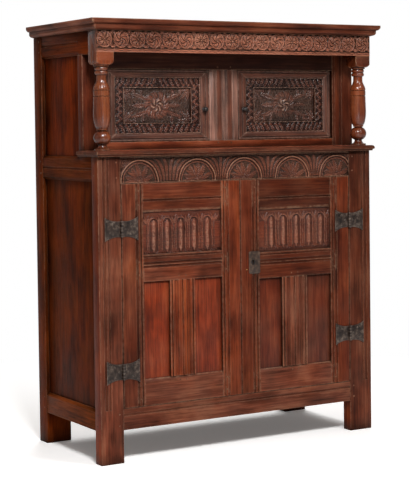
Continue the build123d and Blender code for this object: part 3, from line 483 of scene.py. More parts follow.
KEYHOLE = (51.0 * MM, -254.5 * MM, 717.5 * MM)
BROWN = Palette("#3c1f15", "#683a2a", "#8a5842")
RED = Palette("#42170b", "#763119", "#984926")
PANEL_RED = Palette("#4e1808", "#853014", "#a4461e")
SIDE_BROWN = Palette("#341706", "#622c0b", "#7b3912")
SIDE_RED = Palette("#3c1403", "#702705", "#8c3409")
POLISHED_BROWN = Palette("#44180a", "#6e3319", "#8e4e2c")
POLISHED_RED = Palette("#4a1407", "#7c2d12", "#a04a20")
CARVED_BROWN = Palette("#4a2519", "#714231", "#905e49")
CARVED_RED = Palette("#4e1f12", "#783c27", "#945039")
SHADED_BROWN = Palette("#321a12", "#583225", "#744a39")
SHADED_RED = Palette("#38150c", "#612b1b", "#7d402b")
GREYED = Palette("#3b2822", "#6d4c40", "#906e60")
BARE = Palette("#362013", "#583824", "#735038")


class Finish(Enum):
    """The finishes of the cupboard, by the part of it that they are on."""

    # Waxed and handled oak: red-brown, with tan arrises from wear and painted highlight, and black in the
    # corners from dirt and painted shade.
    FRONT = OakFinish("oak_waxed_front", BROWN, RED, "#9c7a62", "#180b06", sheen_level=0.08)
    # Unpolished oak in the shade: deep red-brown, almost without sheen.
    SIDE = OakFinish("oak_dark_side", SIDE_BROWN, SIDE_RED, "#866048", "#110703", sheen_level=0.03)
    # Oak that has lost its wax to the light: grey-brown, dry and streaky.
    DRY = OakFinish("oak_dry_grey_brown", GREYED, BROWN, "#a88c7c", "#1a0f0b", sheen_level=0.3)
    # Quartered oak panels under old red varnish: the reddest and smoothest flat faces.
    PANEL = OakFinish("oak_red_panel", BROWN, PANEL_RED, "#a06a48", "#1d0b05", roughness=0.40)
    # Turned oak, burnished and waxed: bright round highlights.
    PILLAR = OakFinish(
        "oak_polished_pillar", POLISHED_BROWN, POLISHED_RED, "#a87858", "#1c0a05",
        roughness=0.22, sheen_level=0.4, wax=0.28,
    )
    # Gouge-cut oak: light on the ridges from wear and painted highlight, black in the punched ground from
    # dirt and painted shade.
    CARVED = OakFinish(
        "oak_carved", CARVED_BROWN, CARVED_RED, "#ae886e", "#170b06",
        roughness=0.38, sheen_level=0.2, wear_and_highlight_share=0.72, carved=True, hollow_dirt_and_shade=0.82, soft_edge=0.15,
    )
    # Gouge-cut red oak: pinkish bars lightened by wear and painted highlight, on a ground darkened by dirt
    # and painted shade, but not black.
    CARVED_RED = OakFinish(
        "oak_carved_red_panel", BROWN, PANEL_RED, "#ae7f69", "#1d0b06",
        roughness=0.36, sheen_level=0.25, wear_and_highlight_share=0.54, carved=True, hollow_dirt_and_shade=0.52, soft_edge=0.15,
    )
    # Gouge-cut oak in darker palettes that paint the shade under the canopy: small bright glints of wear and
    # painted highlight on a near-black face.
    CARVED_DEEP = OakFinish(
        "oak_carved_painted_shade", SHADED_BROWN, SHADED_RED, "#a48674", "#0e0503",
        roughness=0.27, sheen_level=0.28, wear_and_highlight_share=0.85, carved=True, soft_edge=0.15,
    )
    # Sawn oak that was never finished: pale and dry.
    INNER = OakFinish("oak_bare_inside", BARE, BARE, "#8c6c4c", "#1c120a", roughness=0.65, sheen_level=0.1)
    # Wrought iron, hammered: brown-black, with bright dents, and edges lightened by wear and painted
    # highlight.
    IRON = IronFinish("iron_wrought_brown", Palette("#1c130f", "#3b2e27", "#66584e"), "#a89a8e")
    # Rusted iron plate: as brown as the wood around it, and black round the keyhole: an oil stain that also
    # paints the keyhole's shade.
    RUSTED = IronFinish(
        "iron_rusted_plate", Palette("#1c110b", "#38271e", "#5c4738"), "#7c6454",
        metal=0.15, oil_and_shade_at=KEYHOLE,
    )
    # Iron blackened with oil: near black, with a dull shine.
    BLACK_IRON = IronFinish("iron_blackened", Palette("#0c0908", "#1a1310", "#2b211c"), "#54463c", metal=0.1)
    # Old brass, dulled: a small warm glint.
    BRASS = IronFinish("brass_dulled", Palette("#6a4c26", "#94703c", "#b08c50"), "#c8a86c", metal=0.8)

    @cache
    def built(self) -> bpy.types.Material:
        """Return this finish's material, built once."""
        return self.value.material()


@dataclass(frozen=True)
class Look:
    """How one timber differs from its neighbours.

    Its shade is a share of brightness, and its colour runs from 0, brown, to 1, red. Its foot
    and head are lighter or darker than its middle: painted light and shade, graded along its height.
    """

    shade: float = 1.0
    ruddy: float = 0.5
    foot: float = 1.0
    head: float = 1.0

    def varied(self, draw: random.Random) -> "Look":
        """Return this look with a little chance in it."""
        shade, ruddy = self.shade * draw.uniform(*SHADE_CHANCE), self.ruddy + draw.uniform(*RUDDY_CHANCE)
        return Look(shade, ruddy, self.foot, self.head)

    def shades(self, heights: np.ndarray) -> np.ndarray:
        """Work out the shade of points from their heights.

        Args:
            heights: Heights of all the points of a timber.

        Returns:
            Their shades.
        """
        low, high = heights.min(), heights.max()
        share = (heights - low) / max(high - low, 1e-6)
        return self.shade * np.interp(share, (0.0, 0.5, 1.0), (self.foot, 1.0, self.head))


# ---------------------------------------------------------------- timbers
def solids_of(node: str) -> tuple[np.ndarray, list[np.ndarray]]:
    """Split a CAD node's loose triangles into its closed solids.

    The triangles of a solid follow each other, and it is complete once each of its edges has
    been met in both directions.

    Args:
        node: Name of the CAD node.

    Returns:
        The merged points, and for each solid its triangles as numbers of those points.
    """
    mesh = frame["nodes"][node].data
    places = points_of(mesh)
    triangles = np.empty(len(mesh.polygons) * 3, np.int32)
    mesh.polygons.foreach_get("vertices", triangles)
    numbers: dict[tuple[int, ...], int] = {}
    keys = [tuple(row) for row in np.round(places * MERGE_STEPS_PER_METRE).astype(int).tolist()]
    merged = np.array([numbers.setdefault(key, len(numbers)) for key in keys])
    points = np.zeros((len(numbers), 3))
    points[merged] = places
    faces = merged[triangles.reshape(-1, 3)]
    waiting: dict[tuple[int, int], int] = {}
    solids, start = [], 0
    for count, (a, b, c) in enumerate(faces.tolist(), 1):
        for edge in ((a, b), (b, c), (c, a)):
            back = (edge[1], edge[0])
            if waiting.get(back):
                waiting[back] -= 1
                if not waiting[back]:
                    del waiting[back]
            else:
                waiting[edge] = waiting.get(edge, 0) + 1
        if not waiting:
            solids.append(faces[start:count])
            start = count
    return points, solids


def solid_boxes(node: str) -> list[tuple[Vector, Vector]]:
    """Measure each solid of a CAD node.

    Args:
        node: Name of the CAD node.

    Returns:
        The lowest and highest corner of each solid, in metres.
    """
    points, solids = solids_of(node)
    used = [points[np.unique(solid)] for solid in solids]
    return [(Vector(places.min(axis=0)), Vector(places.max(axis=0))) for places in used]


def give_attribute(mesh: bpy.types.Mesh, name: str, kind: str, domain: str, values: np.ndarray) -> None:
    """Write an attribute of a mesh.

    Args:
        mesh: The mesh.
        name: Name of the attribute.
        kind: "FLOAT" or "FLOAT_VECTOR".
        domain: "POINT" or "FACE".
        values: Its values, in the order of the domain.
    """
    made = mesh.attributes.new(name, kind, domain)
    key = "vector" if kind == "FLOAT_VECTOR" else "value"
    made.data.foreach_set(key, np.asarray(values, np.float32).reshape(-1))


def points_of(mesh: bpy.types.Mesh) -> np.ndarray:
    """Read the places of a mesh's points.

    Args:
        mesh: The mesh.

    Returns:
        The places, one row each.
    """
    places = np.empty(len(mesh.vertices) * 3, np.float32)
    mesh.vertices.foreach_get("co", places)
    return places.reshape(-1, 3)


def give_look(mesh: bpy.types.Mesh, look: Look, grain: np.ndarray) -> None:
    """Write the attributes that the oak finishes read.

    Args:
        mesh: The mesh.
        look: Its look.
        grain: A vector for each point, x along the grain, in metres.
    """
    give_attribute(mesh, "grain", "FLOAT_VECTOR", "POINT", grain)
    give_attribute(mesh, "shade", "FLOAT", "POINT", look.shades(points_of(mesh)[:, 2]))
    give_attribute(mesh, "ruddy", "FLOAT", "POINT", np.full(len(mesh.vertices), look.ruddy))


def reshade(piece: bpy.types.Object, rule: Callable[[Field, Field], dict[str, Field]]) -> None:
    """Give a piece's faces their own shade and redness.

    Args:
        piece: The piece.
        rule: Takes the faces' middles and normals, and returns the values of each attribute.
    """
    mesh = piece.data
    middles, normals = np.empty(len(mesh.polygons) * 3), np.empty(len(mesh.polygons) * 3)
    mesh.polygons.foreach_get("center", middles)
    mesh.polygons.foreach_get("normal", normals)
    for name, values in rule(middles.reshape(-1, 3), normals.reshape(-1, 3)).items():
        mesh.attributes.remove(mesh.attributes[name])
        give_attribute(mesh, name, "FLOAT", "FACE", values)


@dataclass
class Timbers:
    """Aged copies of CAD timbers: eased arrises, and attributes that carry each board's grain."""

    arris: float = 1.6 * MM
    least_turn: float = math.radians(62)
    least_edge: float = 7 * MM
    smooth_turn: float = math.radians(24)
    flat_turn: float = math.radians(0.6)
    grain_shift: float = 3.0

    def solid(self, points: np.ndarray, triangles: np.ndarray, seed: int, look: Look) -> bpy.types.Mesh:
        """Make one timber: merged faces, eased arrises and its own grain.

        Args:
            points: Points of the node.
            triangles: This timber's triangles.
            seed: Seed of its grain.
            look: Its brightness and redness.

        Returns:
            Its mesh.
        """
        draw = random.Random(seed)
        work = bmesh.new()
        corners = {n: work.verts.new(points[n]) for n in np.unique(triangles).tolist()}
        for a, b, c in triangles.tolist():
            if len({a, b, c}) == 3 and work.faces.get((corners[a], corners[b], corners[c])) is None:
                work.faces.new((corners[a], corners[b], corners[c]))
        bmesh.ops.dissolve_limit(
            work, angle_limit=self.flat_turn, verts=work.verts[:], edges=work.edges[:]
        )
        # The eased arrises are marked for the finish's wear and painted highlight colour.
        wear_and_highlight = work.faces.layers.float.new("wear_and_highlight")
        arrises = [
            edge
            for edge in work.edges
            if edge.is_manifold
            and edge.calc_length() > self.least_edge
            and edge.calc_face_angle_signed(0) > self.least_turn
        ]
        if arrises:
            eased = bmesh.ops.bevel(
                work,
                geom=arrises,
                offset=self.arris,
                offset_type="OFFSET",
                segments=2,
                profile=0.5,
                affect="EDGES",
                clamp_overlap=True,
            )
            for face in eased["faces"]:
                face[wear_and_highlight] = 1.0
        mesh = bpy.data.meshes.new("timber")
        work.to_mesh(mesh)
        work.free()
        places = points_of(mesh)
        order = np.argsort(-np.ptp(places, axis=0))
        shift = np.array([draw.uniform(-self.grain_shift, self.grain_shift) for _ in range(3)])
        give_look(mesh, look.varied(draw), places[:, order] + shift)
        return mesh

    def node(self, name: str, looks: dict[int, Look], rest: Look) -> bpy.types.Object:
        """Make the aged copy of a whole CAD node.

        Args:
            name: The node.
            looks: Number of a solid to its look.
            rest: Look of the other solids.

        Returns:
            The new object, still without a body or material.
        """
        points, solids = solids_of(name)
        whole = bmesh.new()
        for number, triangles in enumerate(solids):
            seed = zlib.crc32(f"{name}{number}".encode())
            part = self.solid(points, triangles, seed, looks.get(number, rest))
            whole.from_mesh(part)
            bpy.data.meshes.remove(part)
        mesh = bpy.data.meshes.new(name + "_aged")
        whole.to_mesh(mesh)
        whole.free()
        mesh.shade_smooth()
        mesh.set_sharp_from_angle(angle=self.smooth_turn)
        return link_mesh(name + "_aged", mesh)

    def dress(
        self,
        name: str,
        finish: Finish,
        rest: Look = Look(),
        looks: dict[int, Look] | None = None,
        pockets: Iterable["Relief"] = (),
    ) -> bpy.types.Object:
        """Make the aged copy of a node, let in its carvings, and finish it.

        Args:
            name: The node.
            finish: Its finish.
            rest: Look of its solids.
            looks: Looks of some solids, by number, where they differ from the rest.
            pockets: Carved faces that are let into it.

        Returns:
            The finished piece.
        """
        piece = self.node(name, looks or {}, rest)
        for relief in pockets:
            relief.let_into(piece)
        settle(piece, BODY_OF[name], finish.built(), [name])
        return piece


# ---------------------------------------------------------------- carving
LOBE_PITCH = 8.5
RIPPLE_WAVES = 5


def dome(distance: Field, radius: Field | float) -> Field:
    """Return a round profile: 1 at no distance, 0 from the radius on."""
    return np.sqrt(np.clip(1 - (distance / radius) ** 2, 0, 1))


def groove(distance: Field, width: float) -> Field:
    """Return a soft V: 1 at no distance, near 0 two widths away."""
    return np.exp(-((distance / width) ** 2))


def leaf(
    u: Field,
    v: Field,
    root: tuple[float, float],
    angle: float,
    length: float,
    width: float,
    curl: float = 0.0,
    vein: float = 0.45,
    teeth: float = 0.0,
) -> Field:
    """Carve one leaf with a vein.

    Args:
        u: Across positions in mm.
        v: Up positions in mm.
        root: Where the leaf starts, in mm.
        angle: Its direction in degrees, from across to up.
        length: Its length in mm.
        width: Half of its greatest width in mm.
        curl: How far its tip turns to its left, in mm.
        vein: Depth of the vein's groove, 0 to 1.
        teeth: How deep its edge is cut into lobes, 0 to 1.

    Returns:
        The height, 0 to 1.
    """
    turn = math.radians(angle)
    du, dv = u - root[0], v - root[1]
    along = du * math.cos(turn) + dv * math.sin(turn)
    across = -du * math.sin(turn) + dv * math.cos(turn)
    share = np.clip(along / length, 0, 1)
    across = across - curl * share**2
    half = width * np.sin(np.pi * share**0.75) ** 0.7 + 1e-4
    lobes = 0.5 + 0.5 * np.sin((along - 0.8 * np.abs(across)) * math.tau / LOBE_PITCH)
    half = half * (1 - teeth * (1 - lobes))
    body = dome(across, half) * ((along > 0) & (along < length))
    return body * (1 - vein * groove(across, 0.2 * width)) * (1 - 1.1 * teeth * (1 - lobes))


def spray(
    u: Field, v: Field, root: tuple[float, float], fan: Fan, width: float, **cut: float
) -> Field:
    """Carve several leaves that grow from one root.

    Args:
        u: Across positions in mm.
        v: Up positions in mm.
        root: Where they start, in mm.
        fan: Angle in degrees and length in mm of each leaf.
        width: Half of their greatest width in mm.
        cut: Their curl, vein and teeth, where they differ from a leaf's usual ones.

    Returns:
        The height, 0 to 1.
    """
    return highest(*(leaf(u, v, root, angle, length, width, **cut) for angle, length in fan))


def ripple(u: Field, v: Field, size: float, seed: int) -> Field:
    """Make a soft irregular field.

    Args:
        u: Across positions in mm.
        v: Up positions in mm.
        size: About how far apart its crests are, in mm.
        seed: Seed of its waves.

    Returns:
        The field, between about -1 and 1.
    """
    draw = random.Random(seed)
    total = np.zeros_like(u)
    for _ in range(RIPPLE_WAVES):
        turn, phase = draw.uniform(0, math.tau), draw.uniform(0, math.tau)
        rate = math.tau / (size * draw.uniform(0.7, 1.6))
        total += np.sin((u * math.cos(turn) + v * math.sin(turn)) * rate + phase)
    return total / 3


def highest(*parts: Field) -> Field:
    """Return the highest of several height fields at each place."""
    return np.maximum.reduce(parts)


@dataclass
class Relief:
    """A carved face: a closed slab whose front is cut to a pattern.

    The pattern gives each place's height, 0 to 1, and how high it looks among its neighbours, which sets its
    painted shade in the hollows and painted highlight on the ridges.
    """

    name: str
    x: tuple[float, float]
    z: tuple[float, float]
    face: float
    pattern: Callable[[Field, Field], tuple[Field, Field]]
    cut: float = 4.5
    thick: float = 7.0
    step: float = 1.25
    seed: int = 1
    look: Look = Look()
    smooth_turn: float = math.radians(68)
    back_relief: float = 0.7
    proud: float = 2.0
    clearance: float = 0.02
    grain_step: Spot = (1.37, 0.71, 2.13)

    def mesh(self) -> bpy.types.Mesh:
        """Build the slab.

        Returns:
            Its mesh, with the attributes that the oak finishes read.
        """
        columns = max(2, round((self.x[1] - self.x[0]) / (self.step * MM)))
        rows = max(2, round((self.z[1] - self.z[0]) / (self.step * MM)))
        across, up = np.meshgrid(np.linspace(*self.x, columns + 1), np.linspace(*self.z, rows + 1))
        height, tall = (np.clip(made, 0, 1) for made in self.pattern(across / MM, up / MM))
        height[0, :] = height[-1, :] = height[:, 0] = height[:, -1] = 1.0
        depth = (1 - height) * self.cut * MM
        front = np.stack((across, self.face + depth, up), axis=-1).reshape(-1, 3)
        backs = [(x, self.face + self.thick * MM, z) for z in self.z for x in self.x]
        width = columns + 1
        grid = np.arange((rows + 1) * width).reshape(rows + 1, width)
        quads = np.stack((grid[:-1, :-1], grid[:-1, 1:], grid[1:, 1:], grid[1:, :-1]), axis=-1)
        base = len(front)
        faces = quads.reshape(-1, 4).tolist()
        faces.append([*grid[0, ::-1].tolist(), base, base + 1])
        faces.append([*grid[-1].tolist(), base + 3, base + 2])
        faces.append([*grid[:, 0].tolist(), base + 2, base])
        faces.append([*grid[::-1, -1].tolist(), base + 1, base + 3])
        faces.append([base, base + 2, base + 3, base + 1])
        mesh = bpy.data.meshes.new(self.name)
        places = [*front.tolist(), *backs]
        mesh.from_pydata(places, [], faces)
        shift = self.seed * np.array(self.grain_step)
        give_look(mesh, self.look, np.array(places)[:, [0, 2, 1]] + shift)
        looks = np.concatenate((tall.reshape(-1), np.full(len(backs), self.back_relief)))
        give_attribute(mesh, "relief", "FLOAT", "POINT", looks)
        give_attribute(mesh, "wear_and_highlight", "FLOAT", "FACE", np.zeros(len(faces)))
        mesh.shade_smooth()
        mesh.set_sharp_from_angle(angle=self.smooth_turn)
        return mesh

    def let_into(self, timber: bpy.types.Object) -> None:
        """Cut the slab's pocket into a timber.

        Args:
            timber: The piece that gets the pocket.
        """
        low = Vector((self.x[0], self.face - self.proud * MM, self.z[0]))
        high = Vector((self.x[1], self.face + (self.thick + self.clearance) * MM, self.z[1]))
        work = bmesh.new()
        grow = Matrix.Diagonal((*(high - low), 1))
        bmesh.ops.create_cube(work, size=1.0, matrix=Matrix.Translation((low + high) / 2) @ grow)
        mesh = bpy.data.meshes.new("pocket")
        work.to_mesh(mesh)
        work.free()
        cutter = link_mesh("pocket", mesh)
        tool = timber.modifiers.new("pocket", "BOOLEAN")
        tool.operation = "DIFFERENCE"
        tool.solver = "EXACT"
        tool.object = cutter
        apply_modifier(timber, tool)
        bpy.data.objects.remove(cutter)

    def build(self, body: str, slot: str, finish: Finish, stands_for: Iterable[str] = ()) -> None:
        """Put the carved slab in place.

        Args:
            body: CAD body that it moves with.
            slot: Its material slot; not used.
            finish: Its finish.
            stands_for: CAD nodes that it replaces.
        """
        settle(link_mesh(self.name, self.mesh()), body, finish.built(), stands_for)


@dataclass
class Carver:
    """The patterns of the carved faces. All sizes are in mm, and angles in degrees.

    Each pattern is a sum of round, grooved and leaf-shaped heights between 0, the ground, and 1,
    the face of the wood. A fan is the angle and length of each of its leaves.
    """

    roughness: float = 0.12
    punch_pitch: tuple[float, float] = (4.6, 4.2)
    roundels: int = 18
    first_roundel: float = -587.0
    roundel_middle: float = 1576.0
    roundel_radius: float = 29.5
    rope_turns: int = 14
    flower_radius: float = 15.0
    corner_root: float = 33.0
    corner_fan: Fan = ((38, 17.0), (64, 17.0), (90, 21.0), (116, 17.0), (142, 17.0))
    canopy_strip: float = 1541.0
    canopy_wave: float = 1534.5
    lunettes_at: tuple[float, ...] = (-445.0, -195.0, 17.0, 242.0, 456.0)
    lunette_radius: float = 84.0
    petal_angles: tuple[float, ...] = (12, 51, 90, 129, 168)
    petal_roots: tuple[float, float] = (9.0, 20.0)
    fan_radius: float = 68.0
    frieze_inset: float = 33.0
    frieze_edges: tuple[float, float] = (4.0, 8.0)
    wide_gap: float = 240.0
    bar_half: float = 11.5
    niche_half: float = 18.5
    crown_fan: Fan = ((50, 40.0), (72, 36.0), (108, 36.0), (130, 40.0))
    foot_fan: Fan = ((-42, 20.0), (-90, 20.0), (-138, 20.0))
    field_rays: Fan = ((0, 56.0), (27, 70.0), (-27, 70.0))
    field_ray_root: float = 52.0
    field_corner_fan: Fan = ((-34, 46.0), (2, 58.0), (30, 50.0))
    field_edge_leaves: tuple[float, ...] = (66, 100)
    slant_length: tuple[float, float] = (29, 38)
    slant_half: tuple[float, float] = (7.4, 9.8)
    slant_pitch: tuple[float, float] = (20.0, 25.5)
    zigzag_length: tuple[float, float] = (27, 32)
    zigzag_pitch: tuple[float, float] = (11.5, 14.0)
    rim: float = 2.8

    def ground(self, u: Field, v: Field, seed: int) -> Field:
        """Punch the ground between ornaments.

        Args:
            u: Across positions.
            v: Up positions.
            seed: Seed of its unevenness.

        Returns:
            The height, close to 0.
        """
        wander = 1.4 * ripple(u, v, 11.0, seed)
        across, up = self.punch_pitch
        punched = np.sin(u * math.tau / across + wander) * np.sin(v * math.tau / up - wander)
        return self.roughness * (0.5 + 0.25 * ripple(u, v, 8.0, seed) + 0.4 * punched)

    def canopy(self, u: Field, v: Field) -> tuple[Field, Field]:
        """Carve the canopy's linked roundels, with leaves between them and a plain strip below.

        Args:
            u: Across positions.
            v: Up positions.

        Returns:
            Height, and how high it looks.
        """
        pitch = -2 * self.first_roundel / (self.roundels - 1)
        flat_v = v
        u, v = u + 0.9 * ripple(u, v, size=40.0, seed=5), v + 0.8 * ripple(u, v, size=50.0, seed=6)
        number = np.round((u - self.first_roundel) / pitch)
        near = u - self.first_roundel - number * pitch
        gap = np.where(near > 0, near - pitch / 2, near + pitch / 2)
        up = v - self.roundel_middle
        radius, turn = np.hypot(near, up), np.arctan2(up, near)
        from_ring = radius - self.flower_radius

        rope = 0.92 - 0.42 * (0.5 + 0.5 * np.sin(self.rope_turns * turn + 0.9 * radius))
        ring = dome(radius - self.roundel_radius, 5.0) * rope
        flower = dome(from_ring, 11.5) * np.abs(np.cos(4 * turn)) ** 0.5
        flower = flower * (1 - 0.45 * groove(np.sin(4 * turn), 0.22))
        twist = 3 * (turn + 0.05 * radius)
        whirl = dome(from_ring, 12.0) * np.abs(np.cos(twist)) ** 0.6 * (1 - 0.4 * groove(np.sin(twist), 0.3))
        inside = np.where(number % 2 == 0, flower, whirl)
        height = highest(self.ground(u, v, seed=3), ring, 0.95 * inside, dome(radius, 4.2))
        for side in (-1, 1):
            fan = [(side * angle, length) for angle, length in self.corner_fan]
            leaves = spray(gap, up, (0.0, -self.corner_root * side), fan, width=3.8, teeth=0.2)
            height = highest(height, 0.9 * leaves)
        wave = groove(v - self.canopy_wave - 1.6 * np.sin(u * math.tau / 34.0), 1.5)
        plain = np.clip((self.canopy_strip - flat_v) / 1.6, 0, 1)
        height = height * (1 - plain) + plain * (0.95 - 0.3 * wave)
        return height, np.where(plain > 0.5, 0.78 * height, height)

    def lunettes(self, u: Field, v: Field) -> tuple[Field, Field]:
        """Carve the lower frieze's half-round fans, with leaves that rise between them.

        Args:
            u: Across positions.
            v: Up positions.

        Returns:
            Height, and how high it looks.
        """
        low, high = box_of("lower_frieze_rail")
        base, top = low.z / MM + self.frieze_edges[0], high.z / MM - self.frieze_edges[1]
        flat_v = v
        u, v = u + 1.0 * ripple(u, v, size=45.0, seed=11), v + 0.8 * ripple(u, v, size=60.0, seed=12)
        height = self.ground(u, v, seed=13)
        reach = self.lunette_radius
        for number, centre in enumerate(self.lunettes_at):
            du, dv = u - centre, np.maximum(v - base, 0)
            radius, turn = np.hypot(du, dv), np.arctan2(dv, du)
            nicks = 1 - 0.25 * (0.5 + 0.5 * np.sin(30 * turn))
            arcs = highest(dome(radius - reach + 4.5, 5.0), 0.86 * dome(radius - reach + 15, 4.2) * nicks)
            petals = self._petals(du, dv, lean=10.0 if number % 2 == 0 else -10.0)
            fan = highest(self.ground(u, v, seed=17), arcs, 0.95 * petals * (radius < self.fan_radius))
            height = np.where(radius < reach, fan, height)
        left, right = low.x / MM + self.frieze_inset, high.x / MM - self.frieze_inset
        edges = (left - reach, *self.lunettes_at, right + reach)
        for start, end in zip(edges[:-1], edges[1:]):
            rise = np.clip(v - base, 0, reach)
            bulge = np.sqrt(reach**2 - rise**2)
            first = np.where(start < left, left, start + bulge)
            last = np.where(end > right, right, end - bulge)
            count = 6 if end - start > self.wide_gap else 5
            height = self._flutes(height, u, v, (first, last), (base, top), count)
        plain = np.clip((flat_v - top) / 1.5, 0, 1) + np.clip((base - 1 - flat_v) / 1.2, 0, 1)
        height = np.maximum(height, np.clip(plain, 0, 1))
        return height, 0.9 * height

    def _petals(self, du: Field, dv: Field, lean: float) -> Field:
        """Carve the leafy petals and spurs of one lunette, round its boss.

        Args:
            du: Distance across from its middle.
            dv: Distance up from its foot.
            lean: How far its upright petal leans.

        Returns:
            The height, 0 to 1.
        """
        radius, turn = np.hypot(du, dv), np.arctan2(dv, du)
        petals = dome(radius, 11.0) * (1 - 0.3 * groove(np.sin(4 * turn), 0.3))
        for angle in self.petal_angles:
            way = math.radians(angle)
            root, spur_root = ((out * math.cos(way), out * math.sin(way)) for out in self.petal_roots)
            curl = lean if angle == 90 else math.copysign(9.0, 90 - angle)
            petal = leaf(du, dv, root, angle, length=57.0, width=15.5, curl=curl, teeth=0.32)
            spur = leaf(du, dv, spur_root, angle + 20, length=46.0, width=7.0, vein=0.2)
            petals = highest(petals, petal, 0.8 * spur)
        return petals

    @staticmethod
    def _flutes(
        height: Field, u: Field, v: Field, span: tuple[Field, Field], rise: tuple[float, float], count: int
    ) -> Field:
        """Add the leaves that fill the space between two arcs and fan out at the top.

        Args:
            height: Height so far.
            u: Across positions.
            v: Up positions.
            span: The space's left and right edge at each height.
            rise: Its lowest and highest place.
            count: Number of leaves.

        Returns:
            The height with the leaves.
        """
        room = np.maximum(span[1] - span[0], 1.0)
        share = (u - span[0]) / room * count
        line = (share - np.floor(share) - 0.5) * room / count
        half = np.clip(0.42 * room / count, 0.5, 8.5)
        body = dome(line, half) * (1 - 0.35 * groove(line, 1.4))
        barbs = 0.5 + 0.5 * np.sin((v - 0.9 * np.abs(line)) * math.tau / 10.0)
        body = body * (1 - 0.22 * barbs * (half > 4))
        inside = (share > 0) & (share < count) & (v > rise[0]) & (v < rise[1]) & (room > 5)
        return np.where(inside, np.maximum(height, 0.95 * body), height)

    def nulling(
        self, u: Field, v: Field, bars: tuple[float, ...], span: tuple[float, float]
    ) -> tuple[Field, Field]:
        """Carve an arcade of pointed bars in niches, with leaves above and below them.

        Args:
            u: Across positions.
            v: Up positions.
            bars: Middle of each bar.
            span: Foot and point of the bars.

        Returns:
            Height, and how high it looks.
        """
        low, high = span
        spring = high - 8
        pitch = (bars[-1] - bars[0]) / (len(bars) - 1)
        u, v = u + 0.8 * ripple(u, v, size=60.0, seed=21), v + 0.8 * ripple(u, v, size=50.0, seed=22)
        height = 0.72 + 0.03 * ripple(u, v, size=14.0, seed=24)
        above_spring = np.clip(v - spring, 0, None) * 0.9
        for bar in bars:
            du = np.abs(u - bar)
            reach = np.hypot(du, above_spring)
            niche = (reach < self.niche_half) & (v > low - 7)
            height = np.where(niche, 0.10 + 0.6 * self.ground(u, v, seed=23), height)
            taper = np.clip((high + 8 - v) / 14, 0, 1) ** 0.5 * np.clip((v - low + 2) / 5, 0, 1) ** 0.5
            ridge = dome(du, self.bar_half * taper + 1e-4)
            height = np.maximum(height, ridge * (v < high + 10) * (v > low - 2))
            lip = dome(reach - self.niche_half - 2.2, 2.4) * (v > low - 2)
            height = np.maximum(height, 0.95 * lip)
        near = np.min([np.hypot(u - bar, above_spring) for bar in bars], axis=0)
        above, below = (v > spring) & (near > self.niche_half + 4.5), v < low - 6
        height = np.where(below | above, 0.24 + 0.9 * self.ground(u, v, seed=25), height)
        for gap in (bars[0] - pitch / 2, *(bar + pitch / 2 for bar in bars)):
            crown = spray(u, v, (gap, high - 9), self.crown_fan, width=5.2, vein=0.3)
            foot = spray(u, v, (gap, low - 2), self.foot_fan, width=5.0, vein=0.3, teeth=0.25)
            height = highest(height, crown * above, foot * below)
        for bar in bars:
            height = highest(height, leaf(u, v, (bar, low + 3), -90, length=17.0, width=6.0, vein=0.2))
        return height, height

    def acanthus(self, du: Field, dv: Field, half: tuple[float, float], seed: int) -> Field:
        """Carve a door's field: a whirling flower in dense leaves that run to the corners.

        Args:
            du: Distance across from the field's middle.
            dv: Distance up from its middle.
            half: Half of the field's width and height.
            seed: Seed of its irregular cuts.

        Returns:
            The height, 0 to 1.
        """
        du, dv = du + 1.6 * ripple(du, dv, 42.0, seed), dv + 1.5 * ripple(du, dv, 38.0, seed + 1)
        radius, turn = np.hypot(du, dv), np.arctan2(dv, du)
        whirl = dome(radius - 17.0, 14.0) * np.abs(np.cos(3 * (turn + 0.04 * radius))) ** 0.6
        bent = 5 * (turn - 0.012 * radius)
        lobes = dome(radius - 42.0, 14.0) * np.abs(np.cos(bent)) ** 0.5
        lobes = lobes * (1 - 0.45 * groove(np.sin(bent), 0.3))
        height = highest(0.14 + 0.14 * ripple(du, dv, 9.0, seed + 2), whirl, 0.9 * lobes, dome(radius, 5.5))
        for side in (-1, 1):
            for angle, length in self.field_rays:
                way, turned = math.radians(angle), angle if side > 0 else 180 - angle
                root = (side * self.field_ray_root * math.cos(way), self.field_ray_root * math.sin(way))
                ray = leaf(du, dv, root, turned, length, width=12.5, curl=-side * angle * 0.5, teeth=0.4)
                height = highest(height, ray)
            for up in (-1, 1):
                corner = (side * (half[0] - 3), up * (half[1] - 3))
                inwards = math.degrees(math.atan2(-up, -side))
                fan = [(inwards + side * up * spread, length) for spread, length in self.field_corner_fan]
                height = highest(height, 0.95 * spray(du, dv, corner, fan, width=10.5, teeth=0.4))
                for foot in self.field_edge_leaves:
                    root = (side * foot, up * (half[1] + 2))
                    edge = leaf(du, dv, root, -up * 84 + side * 9, length=34.0, width=8.0, teeth=0.35)
                    height = highest(height, 0.85 * edge)
        return height

